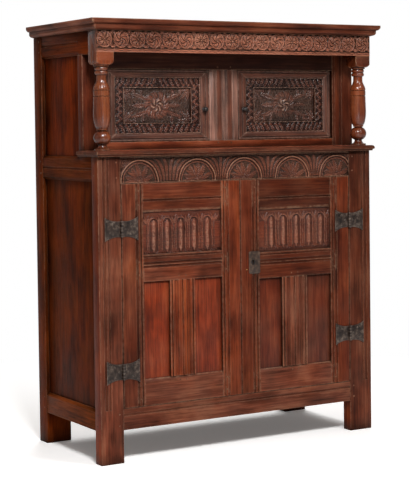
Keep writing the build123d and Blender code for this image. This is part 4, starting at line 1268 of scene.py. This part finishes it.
    def border(self, du: Field, dv: Field, outer: tuple[float, float], width: float, seed: int) -> Field:
        """Carve a door's raised border: slanting leaves along it, zigzag leaves up its sides.

        Args:
            du: Distance across from the door's middle.
            dv: Distance up from its middle.
            outer: Half of the border's width and height.
            width: Width of the border.
            seed: Seed of the leaves' sizes.

        Returns:
            The height, 0 to 1.
        """
        draw = random.Random(seed)
        height = 0.14 + 0.12 * ripple(du, dv, 8.0, seed)
        for up in (-1, 1):
            place = 8.0
            while place < outer[0] - 10:
                long, wide = draw.uniform(*self.slant_length), draw.uniform(*self.slant_half)
                for side in (-1, 1):
                    root = (side * place, up * (outer[1] - 3))
                    small_root = (side * (place + 14), up * (outer[1] - width + 3))
                    turned = -up * 58 if side > 0 else 180 + up * 58
                    cut = leaf(du, dv, root, turned, long, wide, curl=-side * up * 4, teeth=0.35)
                    small = leaf(du, dv, small_root, -turned, length=15.0, width=4.5)
                    height = highest(height, cut, 0.85 * small)
                place += draw.uniform(*self.slant_pitch)
        for side in (-1, 1):
            place, flip = -outer[1] + width, 1
            while place < outer[1] - width:
                root = (side * (outer[0] - width / 2) - flip * 14, place)
                turned = 38 if flip > 0 else 142
                cut = leaf(du, dv, root, turned, draw.uniform(*self.zigzag_length), width=6.4, teeth=0.3)
                height = highest(height, cut)
                place, flip = place + draw.uniform(*self.zigzag_pitch), -flip
        edge = np.minimum(outer[0] - np.abs(du), outer[1] - np.abs(dv))
        rims = np.clip(2.6 - edge, 0, 1) + np.clip(edge - (width - self.rim), 0, 1)
        return np.maximum(height, np.clip(rims, 0, 1) * 0.95)


# ---------------------------------------------------------------- pegs, nails and beads
class Head(Enum):
    """What stands on the wood: a faceted peg end, a hammered nail head or a carved bead."""

    PEG = "peg"
    NAIL = "nail"
    BEAD = "bead"


@dataclass
class Studs:
    """Small heads set on points by one Geometry Nodes tree, each turned by chance about its axis."""

    name: str
    head: Head
    radius: float
    rise: float
    spread: float = 0.12
    seed: int = 7
    relief: float = 0.8
    places: list[Spot] = field(default_factory=list)
    facings: list[Spot] = field(default_factory=list)

    def add(self, x: float, y: float, z: float, facing: Spot = (0.0, -1.0, 0.0)) -> None:
        """Add one head at a place in mm, with the way that it faces."""
        self.places.append((x * MM, y * MM, z * MM))
        self.facings.append(facing)

    def tree(self) -> Tree:
        """Build the Geometry Nodes tree.

        Returns:
            The tree, with inputs for the heads' size, spread, seed and material.
        """
        tree = bpy.data.node_groups.new(f"{self.head.value}_heads", "GeometryNodeTree")
        for name, kind in (
            ("Geometry", "Geometry"),
            ("Radius", "Float"),
            ("Rise", "Float"),
            ("Spread", "Float"),
            ("Seed", "Int"),
            ("Material", "Material"),
        ):
            tree.interface.new_socket(name, in_out="INPUT", socket_type=f"NodeSocket{kind}")
        tree.interface.new_socket("Geometry", in_out="OUTPUT", socket_type="NodeSocketGeometry")
        given = add_node(tree, "NodeGroupInput").outputs
        if self.head is Head.PEG:
            settings = {"Vertices": 7, "Radius Top": 0.82, "Radius Bottom": 1.0, "Depth": 2.0}
            shape = add_node(tree, "GeometryNodeMeshCone", settings).outputs["Mesh"]
            centred = {"Geometry": shape, "Translation": (0.0, 0.0, -1.0)}
            shape = add_node(tree, "GeometryNodeTransform", centred).outputs["Geometry"]
        else:
            rings, segments = (4, 6) if self.head is Head.NAIL else (6, 10)
            settings = {"Segments": segments, "Rings": rings, "Radius": 1.0}
            shape = add_node(tree, "GeometryNodeMeshUVSphere", settings).outputs["Mesh"]
        sizes = {0: given["Radius"], 1: given["Radius"], 2: given["Rise"]}
        sized = {"Geometry": shape, "Scale": add_node(tree, "ShaderNodeCombineXYZ", sizes).outputs[0]}
        shape = add_node(tree, "GeometryNodeTransform", sized).outputs["Geometry"]
        way = add_node(
            tree, "GeometryNodeInputNamedAttribute", {"Name": "facing"}, data_type="FLOAT_VECTOR"
        ).outputs["Attribute"]
        aimed = add_node(tree, "FunctionNodeAlignRotationToVector", {"Vector": way}, axis="Z")
        turn = add_node(
            tree, "FunctionNodeRandomValue", {2: 0.0, 3: math.tau, "Seed": given["Seed"]}, data_type="FLOAT"
        ).outputs[1]
        spin = add_node(tree, "FunctionNodeAxisAngleToRotation", {"Axis": (0.0, 0.0, 1.0), "Angle": turn})
        turns = {"Rotation": aimed.outputs[0], "Rotate By": spin.outputs[0]}
        rotation = add_node(tree, "FunctionNodeRotateRotation", turns, rotation_space="LOCAL").outputs[0]
        least, most = (
            add_node(tree, "ShaderNodeMath", {0: 1.0, 1: given["Spread"]}, operation=way).outputs[0]
            for way in ("SUBTRACT", "ADD")
        )
        grown = add_node(
            tree, "FunctionNodeRandomValue", {2: least, 3: most, "Seed": given["Seed"]}, data_type="FLOAT"
        ).outputs[1]
        inputs = {"Points": given["Geometry"], "Instance": shape, "Rotation": rotation, "Scale": grown}
        heads = add_node(tree, "GeometryNodeInstanceOnPoints", inputs).outputs["Instances"]
        real = add_node(tree, "GeometryNodeRealizeInstances", {"Geometry": heads}).outputs["Geometry"]
        named = {"Geometry": real, "Material": given["Material"]}
        done = add_node(tree, "GeometryNodeSetMaterial", named).outputs["Geometry"]
        add_node(tree, "NodeGroupOutput", {"Geometry": done})
        return tree

    def build(self, body: str, slot: str, finish: Finish, look: Look = Look()) -> None:
        """Bake the heads to one mesh that moves with a body.

        Args:
            body: CAD body that they move with.
            slot: Their material slot; not used.
            finish: Their finish.
            look: Their brightness and redness.
        """
        mesh = bpy.data.meshes.new(self.name)
        mesh.from_pydata(self.places, [], [])
        give_attribute(mesh, "facing", "FLOAT_VECTOR", "POINT", np.array(self.facings))
        piece = link_mesh(self.name, mesh)
        tree = self.tree()
        modifier = piece.modifiers.new("heads", "NODES")
        modifier.node_group = tree
        values = {
            "Radius": self.radius * MM,
            "Rise": self.rise * MM,
            "Spread": self.spread,
            "Seed": self.seed,
            "Material": finish.built(),
        }
        for item in tree.interface.items_tree:
            if item.in_out == "INPUT" and item.name in values:
                modifier[item.identifier] = values[item.name]
        apply_modifier(piece, modifier)
        mesh = piece.data
        for name in [made.name for made in mesh.attributes if made.name in ("facing", "UVMap", "uv_map")]:
            mesh.attributes.remove(mesh.attributes[name])
        give_look(mesh, look, points_of(mesh)[:, [2, 0, 1]])
        give_attribute(mesh, "relief", "FLOAT", "POINT", np.full(len(mesh.vertices), self.relief))
        if self.head is Head.BEAD:
            mesh.shade_smooth()
        settle(piece, body, finish.built())


# ---------------------------------------------------------------- sub-assemblies
@dataclass
class Carcass:
    """The joined frame of the case, its panels, boards, shelves and cornice."""

    timbers: Timbers = field(default_factory=Timbers)
    front: dict[str, Look] = field(
        default_factory=lambda: {
            # Painted light and shade: the front stiles are lighter at the foot and darker at the head, and
            # the right stile darker than the left, as the light falls on them.
            "front_left_stile": Look(1.05, 0.2, foot=1.3, head=0.6),
            "front_right_stile": Look(0.6, 0.35, foot=1.45, head=0.9),
            "front_base_rail": Look(1.1, 0.1),
            "left_cornice": Look(1.6, -0.4),
            "right_cornice": Look(1.0, 0.2),
            "upper_left_stile": Look(0.65, 0.7),
            "upper_right_stile": Look(0.6, 0.6),
            # Painted shade: the head rail under the canopy is darkened to 0.28.
            "upper_head_rail": Look(0.28, 0.2),
            "upper_sill_rail": Look(1.0, 0.9),
            "front_cornice": Look(0.66, 0.4),
        }
    )
    side: dict[str, Look] = field(
        default_factory=lambda: {
            "back_left_post": Look(1.0, 0.3),
            "back_right_post": Look(1.0, 0.3),
            "left_base_rail": Look(1.2, -0.5),
            "right_base_rail": Look(1.15, 0.2),
            "left_mid_rail": Look(0.8, 0.2),
            "right_mid_rail": Look(0.95, 0.4),
            "left_top_rail": Look(0.88, 0.6),
            "right_top_rail": Look(0.95, 0.7),
            "left_lower_panel": Look(0.85, 0.45),
            "right_lower_panel": Look(1.0, 0.6),
            "left_upper_panel": Look(1.05, 0.9),
            "right_upper_panel": Look(1.05, 0.9),
        }
    )
    side_ruddy: float = 1.4
    shelf_painted_light: tuple[float, float] = (2.3, 0.55)
    level: float = 0.98
    flats: tuple[float, float] = (14 * MM, 35 * MM)
    muntin_painted_light: tuple[float, float, float] = (1.0, 1.75, 1.2)
    muntin_ruddy: tuple[float, float] = (1.3, -0.3)
    peg_inset: float = 17.0
    front_pegs_at: tuple[float, ...] = (141.0, 184.0, 1064.0, 1121.0)
    muntin_pegs_at: tuple[float, ...] = (1186.0, 1482.0)
    muntin_peg_half: float = 30.0
    side_pegs_at: tuple[float, ...] = (141.0, 184.0, 1073.0, 1120.0)
    stile_pegs_y: float = -222.0
    post_pegs_y: float = 242.0
    top_pegs_at: tuple[float, ...] = (1548.0, 1590.0)
    inside: tuple[str, ...] = (
        "back_rails",
        "back_lower_boards",
        "back_upper_boards",
        "floor_boards",
        "inner_shelf",
        "shelf_bearers",
        "upper_floor_boards",
        "top_boards",
    )

    def build(self) -> None:
        """Dress every timber of the case, and drive its pegs."""
        for name, look in self.front.items():
            piece = self.timbers.dress(name, Finish.FRONT, look)
            if name.endswith("_stile"):
                # Painted light: the stiles' faces that face sideways are made redder, to offset the white
                # that their gloss reflects.
                ruddy = (self.side_ruddy, look.ruddy)
                reshade(piece, lambda at, facing: {"ruddy": np.where(np.abs(facing[:, 0]) > 0.7, *ruddy)})
        shelf = self.timbers.dress("waist_shelf", Finish.FRONT, Look(1.0, 0.35))
        # Painted light: the shelf's flat top is lightened and its other faces darkened, as the light falls on
        # them.
        reshade(shelf, lambda at, facing: {"shade": np.where(facing[:, 2] > self.level, *self.shelf_painted_light)})
        muntin = self.timbers.dress("upper_muntin", Finish.DRY, Look(1.0, 0.0))
        reshade(muntin, self._muntin_shades)
        for name, look in self.side.items():
            self.timbers.dress(name, Finish.SIDE, look)
        for name in self.inside:
            self.timbers.dress(name, Finish.INNER)
        self._pegs()

    def _muntin_shades(self, at: Field, facing: Field) -> dict[str, Field]:
        """Keep red wax on the muntin's two flats, and let its chamfers and channels go grey and lighter, the
        channels' sloping faces most, as painted highlight.

        Args:
            at: Middles of its faces.
            facing: Normals of its faces.

        Returns:
            The faces' shade and redness.
        """
        away = np.abs(at[:, 0])
        flat = (away > self.flats[0]) & (away < self.flats[1])
        channel = np.abs(facing[:, 0]) > 0.1
        on_flat, in_channel, elsewhere = self.muntin_painted_light
        shade = np.where(flat, on_flat, np.where(channel, in_channel, elsewhere))
        return {"shade": shade, "ruddy": np.where(flat, *self.muntin_ruddy)}

    def _pegs(self) -> None:
        """Drive a pair of pegs at each mortise and tenon of the front and the sides."""
        pegs = Studs("frame_pegs", Head.PEG, radius=4.2, rise=0.9)
        left, right = box_of("front_left_stile"), box_of("front_right_stile")
        for x in (left[1].x / MM - self.peg_inset, right[0].x / MM + self.peg_inset):
            for z in self.front_pegs_at:
                pegs.add(x, left[0].y / MM, z)
        upper_face = box_of("upper_muntin")[0].y / MM
        for x in (-self.muntin_peg_half, self.muntin_peg_half):
            for z in self.muntin_pegs_at:
                pegs.add(x, upper_face, z)
        for side in SIDES.values():
            outer, facing = side * -left[0].x / MM, (side, 0.0, 0.0)
            for y in (self.stile_pegs_y, self.post_pegs_y):
                for z in self.side_pegs_at:
                    pegs.add(outer, y, z, facing)
            for z in self.top_pegs_at:
                pegs.add(outer, self.post_pegs_y, z, facing)
        pegs.build("carcass", "oak_front", Finish.FRONT, Look(0.8, 0.3))


@dataclass
class Friezes:
    """The two carved friezes and the turned pillars, whose blocks carry the upper one's ends."""

    timbers: Timbers = field(default_factory=Timbers)
    carver: Carver = field(default_factory=Carver)
    block: float = 70 * MM
    block_bottom: float = 1480 * MM
    block_painted_light: dict[str, float] = field(default_factory=lambda: {"left": 1.2, "right": 0.45})
    barrel_shade: float = 0.82
    lower_look: Look = Look(0.74, 0.6)
    looks: dict[str, Look] = field(
        default_factory=lambda: {
            "left": Look(1.6, 0.0),
            "middle": Look(1.6, 0.2),
            "right": Look(1.4, 0.2),
        }
    )

    def build(self) -> None:
        """Carve the lower frieze, the canopy's frieze and the blocks above the pillars."""
        low, high = box_of("lower_frieze_rail")
        lower = Relief(
            "lower_frieze_carving",
            x=(box_of("front_left_stile")[1].x, box_of("front_right_stile")[0].x),
            z=(low.z, high.z),
            face=low.y,
            pattern=self.carver.lunettes,
            cut=6.5,
            thick=9.0,
            seed=2,
            look=self.lower_look,
        )
        self.timbers.dress("lower_frieze_rail", Finish.FRONT, pockets=[lower])
        lower.build("carcass", "oak_front", Finish.CARVED)

        rail = box_of("canopy_frieze_rail")[0]
        top = box_of("front_cornice")[0].z
        left, right = box_of("left_pillar")[0].x, box_of("right_pillar")[1].x
        spans = {
            "left": (left, left + self.block),
            "middle": (left + self.block, right - self.block),
            "right": (right - self.block, right),
        }
        for name, span in spans.items():
            look = self.looks[name]
            carving = Relief(
                f"canopy_{name}_carving",
                x=span,
                z=(rail.z, top),
                face=rail.y,
                pattern=self.carver.canopy,
                cut=7.5,
                thick=10.0,
                seed=3,
                look=look,
            )
            if name == "middle":
                self.timbers.dress("canopy_frieze_rail", Finish.FRONT, look, pockets=[carving])
            else:
                pillar = self.timbers.dress(f"{name}_pillar", Finish.PILLAR, look, pockets=[carving])
                # Painted light: the left block is lightened and the right one darkened, as the light falls on
                # them, and the barrels are a little darker.
                heights = points_of(pillar.data)[:, 2]
                part = np.where(heights > self.block_bottom, self.block_painted_light[name], self.barrel_shade)
                pillar.data.attributes["shade"].data.foreach_set("value", part.astype(np.float32))
            carving.build("carcass", "oak_front" if name == "middle" else "oak_pillar", Finish.CARVED)


@dataclass
class LowerDoor:
    """One lower door: joined frame, nulled panel and two plain panels."""

    hand: str
    members: tuple[Look, ...]
    panels: tuple[Look, Look]
    carved: Look
    bars: tuple[float, ...]
    bar_span: tuple[float, float]
    timbers: Timbers = field(default_factory=Timbers)
    carver: Carver = field(default_factory=Carver)
    groove_depth: float = 8.0 * MM
    bead_pitch: float = 7.2
    bead_start: float = 4.0
    bead_sink: float = 1.6
    peg_inset: float = 18.0
    peg_shares: tuple[float, float] = (0.27, 0.75)
    muntin_peg_inset: float = 15.0

    def build(self) -> None:
        """Dress the door's frame and panels, carve its upper panel and drive its pegs."""
        body = f"lower_{self.hand}_door"
        carved_node = f"lower_{self.hand}_carved_panel"
        for node, finish, looks in (
            (f"{body}_frame", Finish.FRONT, self.members),
            (f"lower_{self.hand}_plain_panels", Finish.PANEL, self.panels),
        ):
            self.timbers.dress(node, finish, looks=dict(enumerate(looks)))
        low, high = box_of(carved_node)
        carving = Relief(
            f"{self.hand}_nulled_carving",
            x=(low.x + self.groove_depth, high.x - self.groove_depth),
            z=(low.z + self.groove_depth, high.z - self.groove_depth),
            face=low.y,
            pattern=lambda u, v: self.carver.nulling(u, v, self.bars, self.bar_span),
            cut=5.5,
            thick=6.8,
            seed=4 + SIDES[self.hand],
            look=self.carved,
        )
        self.timbers.dress(carved_node, Finish.PANEL, self.carved, pockets=[carving])
        carving.build(body, SLOT_OF[carved_node], Finish.CARVED_RED)
        self._beads(body, low.y / MM)
        self._pegs(body)

    def _beads(self, body: str, face: float) -> None:
        """Carve a chain of beads on each strip between the niches.

        Args:
            body: The door's body.
            face: Place of the panel's face, in mm.
        """
        beads = Studs(f"{self.hand}_panel_beads", Head.BEAD, radius=3.6, rise=2.6, spread=0.18, seed=11)
        pitch = (self.bars[-1] - self.bars[0]) / (len(self.bars) - 1)
        foot = self.bar_span[0] + self.bead_start
        for strip in (self.bars[0] - pitch / 2, *(bar + pitch / 2 for bar in self.bars)):
            for step in range(int((self.bar_span[1] - foot) / self.bead_pitch)):
                beads.add(strip, face + self.bead_sink, foot + step * self.bead_pitch)
        beads.build(body, SLOT_OF[f"lower_{self.hand}_carved_panel"], Finish.CARVED_RED, self.carved)

    def _pegs(self, body: str) -> None:
        """Drive the pegs of the door's joints.

        Args:
            body: The door's body.
        """
        hinge, meeting, top, lock, base, muntin = solid_boxes(f"{body}_frame")
        face = hinge[0].y / MM
        left, right = sorted((hinge, meeting), key=lambda box: box[0].x)
        stiles = (left[1].x / MM - self.peg_inset, right[0].x / MM + self.peg_inset)
        pegs = Studs(f"{body}_pegs", Head.PEG, radius=3.9, rise=0.8, seed=19)
        for rail in (top, lock, base):
            low, high = rail[0].z / MM, rail[1].z / MM
            for x in stiles:
                for share in self.peg_shares:
                    pegs.add(x, face, low + share * (high - low))
        middle, inset = (muntin[0].x + muntin[1].x) / 2 / MM, self.muntin_peg_inset
        for x in (middle - inset, middle + inset):
            pegs.add(x, face, lock[0].z / MM + inset)
            pegs.add(x, face, base[1].z / MM - inset)
        pegs.build(body, "oak_front", Finish.FRONT, Look(0.75, 0.3))


@dataclass
class UpperDoor:
    """One upper door: mitred frame, raised carved border, sunk carved field and dark knob."""

    hand: str
    members: tuple[Look, ...]
    carved: Look
    timbers: Timbers = field(default_factory=Timbers)
    carver: Carver = field(default_factory=Carver)
    raised: float = 7.0
    sunk: float = 5.0
    behind: float = 1.5
    first_seed: int = 40

    def build(self) -> None:
        """Dress the door's frame and knob, and carve its border and field as one face."""
        body = f"upper_{self.hand}_door"
        self.timbers.dress(f"{body}_frame", Finish.DRY, looks=dict(enumerate(self.members)))
        low, high = box_of(f"{body}_border")
        strip = solid_boxes(f"{body}_border")[0]
        width = (strip[1].z - strip[0].z) / MM
        centre = (low + high) / 2 / MM
        outer = ((high.x - low.x) / 2 / MM, (high.z - low.z) / 2 / MM)
        carving = Relief(
            f"{body}_carving",
            x=(low.x, high.x),
            z=(low.z, high.z),
            face=low.y,
            pattern=lambda u, v: self._face(u - centre.x, v - centre.z, outer, width),
            cut=self.raised + self.sunk,
            thick=self.raised + self.sunk + self.behind,
            seed=8 + SIDES[self.hand],
            look=self.carved,
        )
        self.timbers.dress(f"{body}_panel", Finish.FRONT, self.carved, pockets=[carving])
        carving.build(body, "oak_front", Finish.CARVED_DEEP, [f"{body}_border"])
        self.timbers.dress(f"{self.hand}_turn_catch", Finish.BLACK_IRON)

    def _face(self, du: Field, dv: Field, outer: tuple[float, float], width: float) -> tuple[Field, Field]:
        """Carve the border on top, and the field below it.

        Args:
            du: Distance across from the door's middle, in mm.
            dv: Distance up from its middle, in mm.
            outer: Half of the border's width and height, in mm.
            width: Width of the border, in mm.

        Returns:
            Height, and how high it looks.
        """
        inner = (outer[0] - width, outer[1] - width)
        seed = self.first_seed + SIDES[self.hand]
        share = self.sunk / (self.raised + self.sunk)
        in_field = (np.abs(du) < inner[0]) & (np.abs(dv) < inner[1])
        flower = self.carver.acanthus(du, dv, inner, seed)
        edge = self.carver.border(du, dv, outer, width, seed)
        height = np.where(in_field, share * flower, 1 - share + share * edge)
        return height, np.where(in_field, flower, edge)


@dataclass
class Ironwork:
    """Hinges, escutcheon, lock, bolts, staples and pintles, and the nails that hold them."""

    plates: Timbers = field(default_factory=lambda: Timbers(arris=0.5 * MM, least_edge=4 * MM))
    nodes: tuple[str, ...] = (
        "hinge_stile_leaves",
        "left_hinge_door_leaves",
        "right_hinge_door_leaves",
        "hinge_pins",
        "escutcheon",
        "lock_case",
        "lock_bolt",
        "door_bolt",
        "door_bolt_staples",
        "upper_door_pintles",
    )
    finishes: dict[str, Finish] = field(
        default_factory=lambda: {
            "escutcheon": Finish.RUSTED,
            "lock_case": Finish.BLACK_IRON,
            "lock_bolt": Finish.BLACK_IRON,
            "door_bolt": Finish.BLACK_IRON,
        }
    )
    leaf_length: float = 69.0
    leaf_thick: float = 2.5
    waist_half: float = 29.0
    end_half: float = 44.0
    # Places of a leaf's nails, as a share of its length and of half its height there.
    leaf_nails: tuple[tuple[float, float], ...] = (
        (0.27, 0.0), (0.56, 0.52), (0.56, -0.52), (0.87, 0.72), (0.87, -0.72)
    )
    plate_nail_inset: tuple[float, float] = (6.5, 7.0)
    brass_nail_at: tuple[float, float] = (22.0, 690.0)

    def build(self) -> None:
        """Dress the iron and drive its nails."""
        for name in self.nodes:
            self.plates.dress(name, self.finishes.get(name, Finish.IRON))
        face = box_of("front_left_stile")[0].y / MM - self.leaf_thick
        nails = {
            body: Studs(f"{body}_hinge_nails", Head.NAIL, radius=4.3, rise=1.9, spread=0.15, seed=23)
            for body in ("carcass", "lower_left_door", "lower_right_door")
        }
        for pin_low, pin_high in solid_boxes("hinge_pins"):
            axis = (pin_low.x + pin_high.x) / 2 / MM
            middle = (pin_low.z + pin_high.z) / 2 / MM
            outwards = math.copysign(1, axis)
            door = "lower_right_door" if axis > 0 else "lower_left_door"
            self._leaf_nails(nails["carcass"], axis, middle, face, outwards)
            self._leaf_nails(nails[door], axis, middle, face, -outwards)
        for body, studs in nails.items():
            studs.build(body, "iron", Finish.IRON)
        self._small_nails()

    def _leaf_nails(self, nails: Studs, axis: float, middle: float, face: float, way: float) -> None:
        """Set the nails of one hinge leaf.

        Args:
            nails: Nails of the leaf's body.
            axis: Place of the hinge's pin across, in mm.
            middle: Height of the leaf's middle, in mm.
            face: Place of the leaf's face, in mm.
            way: 1 for a leaf to the right of its pin, -1 for one to the left.
        """
        for share, rise in self.leaf_nails:
            half = self.waist_half + share * (self.end_half - self.waist_half)
            nails.add(axis + way * share * self.leaf_length, face, middle + rise * half)

    def _small_nails(self) -> None:
        """Set the nails of the escutcheon and the one brass nail beside it."""
        low, high = box_of("escutcheon")
        across, up = self.plate_nail_inset
        nails = Studs("escutcheon_nails", Head.NAIL, radius=2.7, rise=1.5, seed=29)
        for x in (low.x / MM + across, high.x / MM - across):
            for z in (low.z / MM + up, high.z / MM - up):
                nails.add(x, low.y / MM, z)
        nails.build("lower_right_door", "iron", Finish.RUSTED)
        brass = Studs("brass_nail", Head.BEAD, radius=2.6, rise=1.6, seed=31)
        brass.add(self.brass_nail_at[0], high.y / MM, self.brass_nail_at[1])
        brass.build("lower_right_door", "iron", Finish.BRASS)


# ---------------------------------------------------------------- studio
@dataclass
class Studio:
    """Camera, lamps, floor and the white around them."""

    place: Spot = (-3.0576, -5.0795, 1.2560)
    heading: float = -0.5313
    roll: float = -0.0127
    pitch: float = math.radians(-2.3)
    lens: float = 109.558
    shift: tuple[float, float] = (0.0269, -0.1195)
    aim: Spot = (0.0, 0.0, 0.9)
    room_level: float = 0.19
    backdrop_span: tuple[float, float] = (0.6, 0.9)
    floor_reach: float = 9.0
    floor_fade: tuple[float, float] = (1.0, 2.2)
    floor_shine: float = 0.4
    floor_bright: tuple[float, float, float, float] = (1.35, 1.34, 1.33, 1.0)
    floor_glow: float = 0.10

    def build(self) -> None:
        """Set the camera, the lamps, the floor and the world."""
        self._camera()
        self._lamp("key", azimuth=-27, elevation=36, distance=3.4, size=0.7, power=92)
        self._lamp("low", azimuth=-20, elevation=-6, distance=3.4, size=1.2, power=9)
        self._lamp("second", azimuth=18, elevation=42, distance=4.2, size=0.6, power=34)
        self._lamp("side_fill", azimuth=-95, elevation=18, distance=4.0, size=1.6, power=3)
        self._lamp("rim", azimuth=150, elevation=42, distance=4.0, size=2.2, power=110)
        self._world()
        self._floor()
        bpy.context.scene.view_settings.view_transform = "Standard"

    def _camera(self) -> None:
        """Make the camera and point it."""
        data = bpy.data.cameras.new("camera")
        data.lens = self.lens
        data.sensor_width = 36.0
        data.shift_x, data.shift_y = self.shift
        camera = bpy.data.objects.new("camera", data)
        turn = Matrix.Rotation(self.heading, 4, "Z") @ Matrix.Rotation(math.pi / 2 + self.pitch, 4, "X")
        camera.matrix_world = Matrix.Translation(self.place) @ turn @ Matrix.Rotation(self.roll, 4, "Z")
        bpy.context.scene.collection.objects.link(camera)
        bpy.context.scene.camera = camera

    def _lamp(
        self, name: str, azimuth: float, elevation: float, distance: float, size: float, power: float
    ) -> None:
        """Add a soft square lamp that faces the middle of the cupboard.

        Args:
            name: Its name.
            azimuth: Degrees round from straight in front, towards the right.
            elevation: Degrees above the level.
            distance: Metres from the middle of the cupboard.
            size: Width in metres.
            power: Watts.
        """
        data = bpy.data.lights.new(name, "AREA")
        data.size = size
        data.energy = power
        lamp = bpy.data.objects.new(name, data)
        a, e = math.radians(azimuth), math.radians(elevation)
        way = Vector((math.sin(a) * math.cos(e), -math.cos(a) * math.cos(e), math.sin(e)))
        lamp.location = Vector(self.aim) + way * distance
        lamp.rotation_mode = "QUATERNION"
        lamp.rotation_quaternion = (-way).to_track_quat("-Z", "Y")
        bpy.context.scene.collection.objects.link(lamp)

    def _world(self) -> None:
        """Light the scene softly, and show a white backdrop behind the cupboard."""
        world = bpy.data.worlds.new("studio")
        bpy.context.scene.world = world
        world.use_nodes = True
        tree = world.node_tree
        tree.nodes.clear()
        sky = add_node(tree, "ShaderNodeTexCoord").outputs["Generated"]
        backdrop = (-math.sin(self.heading), math.cos(self.heading), 0.0)
        ahead = add_node(
            tree, "ShaderNodeVectorMath", {0: sky, 1: backdrop}, operation="DOT_PRODUCT"
        ).outputs["Value"]
        span = {"Value": ahead, "From Min": self.backdrop_span[0], "From Max": self.backdrop_span[1]}
        seen = self._seen(tree, add_node(tree, "ShaderNodeMapRange", span).outputs["Result"])
        soft = add_node(
            tree, "ShaderNodeBackground", {"Color": linear("#fbf6f0"), "Strength": self.room_level}
        )
        white = add_node(tree, "ShaderNodeBackground", {"Color": linear("#ffffff"), "Strength": 1.0})
        mix = add_node(tree, "ShaderNodeMixShader", {0: seen, 1: soft.outputs[0], 2: white.outputs[0]})
        add_node(tree, "ShaderNodeOutputWorld", {"Surface": mix.outputs[0]})

    @staticmethod
    def _seen(tree: Tree, mirrored: Socket | float) -> Socket:
        """Tell the rays that show a backdrop from those that light the object.

        Args:
            tree: Tree of the backdrop.
            mirrored: How much of it shows in gloss.

        Returns:
            1 for what the camera sees, straight or through glass, and less in gloss.
        """
        path = add_node(tree, "ShaderNodeLightPath").outputs
        gloss = {0: path["Is Glossy Ray"], 1: mirrored}
        shine = add_node(tree, "ShaderNodeMath", gloss, operation="MULTIPLY").outputs[0]
        straight = {0: path["Is Camera Ray"], 1: path["Is Transmission Ray"]}
        direct = add_node(tree, "ShaderNodeMath", straight, operation="MAXIMUM").outputs[0]
        return add_node(tree, "ShaderNodeMath", {0: direct, 1: shine}, operation="MAXIMUM").outputs[0]

    def _floor(self) -> None:
        """Lay a pale floor that melts into the white."""
        mesh = bpy.data.meshes.new("floor")
        reach = self.floor_reach
        corners = [(-reach, -reach, 0), (reach, -reach, 0), (reach, reach, 0), (-reach, reach, 0)]
        mesh.from_pydata(corners, [], [(0, 1, 2, 3)])
        floor = link_mesh("floor", mesh)
        made, tree, _ = new_material("studio_floor")
        tree.nodes.clear()
        place = add_node(tree, "ShaderNodeTexCoord").outputs["Object"]
        away = add_node(tree, "ShaderNodeVectorMath", {0: place}, operation="LENGTH").outputs["Value"]
        span = {"Value": away, "From Min": self.floor_fade[0], "From Max": self.floor_fade[1]}
        far = add_node(tree, "ShaderNodeMapRange", span).outputs["Result"]
        seen = self._seen(tree, self.floor_shine)
        paint = add_node(tree, "ShaderNodeBsdfDiffuse", {"Color": linear("#e6e4e2")})
        bright = add_node(tree, "ShaderNodeBsdfDiffuse", {"Color": self.floor_bright})
        glow = add_node(tree, "ShaderNodeEmission", {"Color": linear("#ffffff"), "Strength": self.floor_glow})
        lit = add_node(tree, "ShaderNodeAddShader", {0: bright.outputs[0], 1: glow.outputs[0]})
        near = add_node(tree, "ShaderNodeMixShader", {0: seen, 1: paint.outputs[0], 2: lit.outputs[0]})
        white = add_node(tree, "ShaderNodeEmission", {"Color": linear("#ffffff"), "Strength": 1.0})
        share = add_node(tree, "ShaderNodeMath", {0: far, 1: seen}, operation="MULTIPLY").outputs[0]
        mix = add_node(tree, "ShaderNodeMixShader", {0: share, 1: near.outputs[0], 2: white.outputs[0]})
        add_node(tree, "ShaderNodeOutputMaterial", {"Surface": mix.outputs[0]})
        mesh.materials.append(made)


def doors() -> list[LowerDoor | UpperDoor]:
    """Return the four doors, each with the looks of its own timbers.

    Returns:
        The doors, lower ones first. A lower frame's members are its hinge stile, meeting stile,
        top, lock and bottom rails and muntin; an upper frame's go round from the bottom.
    """
    return [
        LowerDoor(
            "left",
            members=(
                Look(0.8, 0.4), Look(0.86, 0.95),
                Look(0.64, 0.8), Look(0.9, 0.4), Look(1.0, 0.2),
                Look(1.08, 0.9),
            ),
            panels=(Look(0.96, 0.85), Look(1.12, 0.85)),
            carved=Look(0.82, 0.6),
            bars=(-384.0, -326.0, -267.0, -208.0, -149.0),
            bar_span=(788.0, 893.0),
        ),
        # Painted shade: the right door's timbers and carving are darker than the left's, as the light falls
        # off to the right.
        LowerDoor(
            "right",
            members=(
                Look(0.76, 0.85), Look(0.70, 0.7),
                Look(0.42, 0.75), Look(0.61, 0.7), Look(1.1, 0.2),
                Look(1.12, 0.25),
            ),
            panels=(Look(0.62, 0.5), Look(0.64, 0.45)),
            carved=Look(0.55, 0.6),
            bars=(145.0, 202.0, 264.0, 324.0, 382.0),
            bar_span=(779.0, 884.0),
        ),
        UpperDoor(
            "left",
            members=(Look(0.6, 1.2), Look(0.8, 0.8), Look(0.62, 1.2), Look(0.62, 0.9)),
            carved=Look(1.0, 0.6),
        ),
        UpperDoor(
            "right",
            members=(Look(0.7, 1.3), Look(0.85, 0.8), Look(0.85, 1.8), Look(0.7, 1.0)),
            carved=Look(1.0, 0.4),
        ),
    ]


def main() -> None:
    """Build the cupboard's looks in order."""
    logging.basicConfig(level=logging.INFO, format="%(message)s")
    Carcass().build()
    Friezes().build()
    for door in doors():
        door.build()
    Ironwork().build()
    Studio().build()


if __name__ == "__main__":
    main()
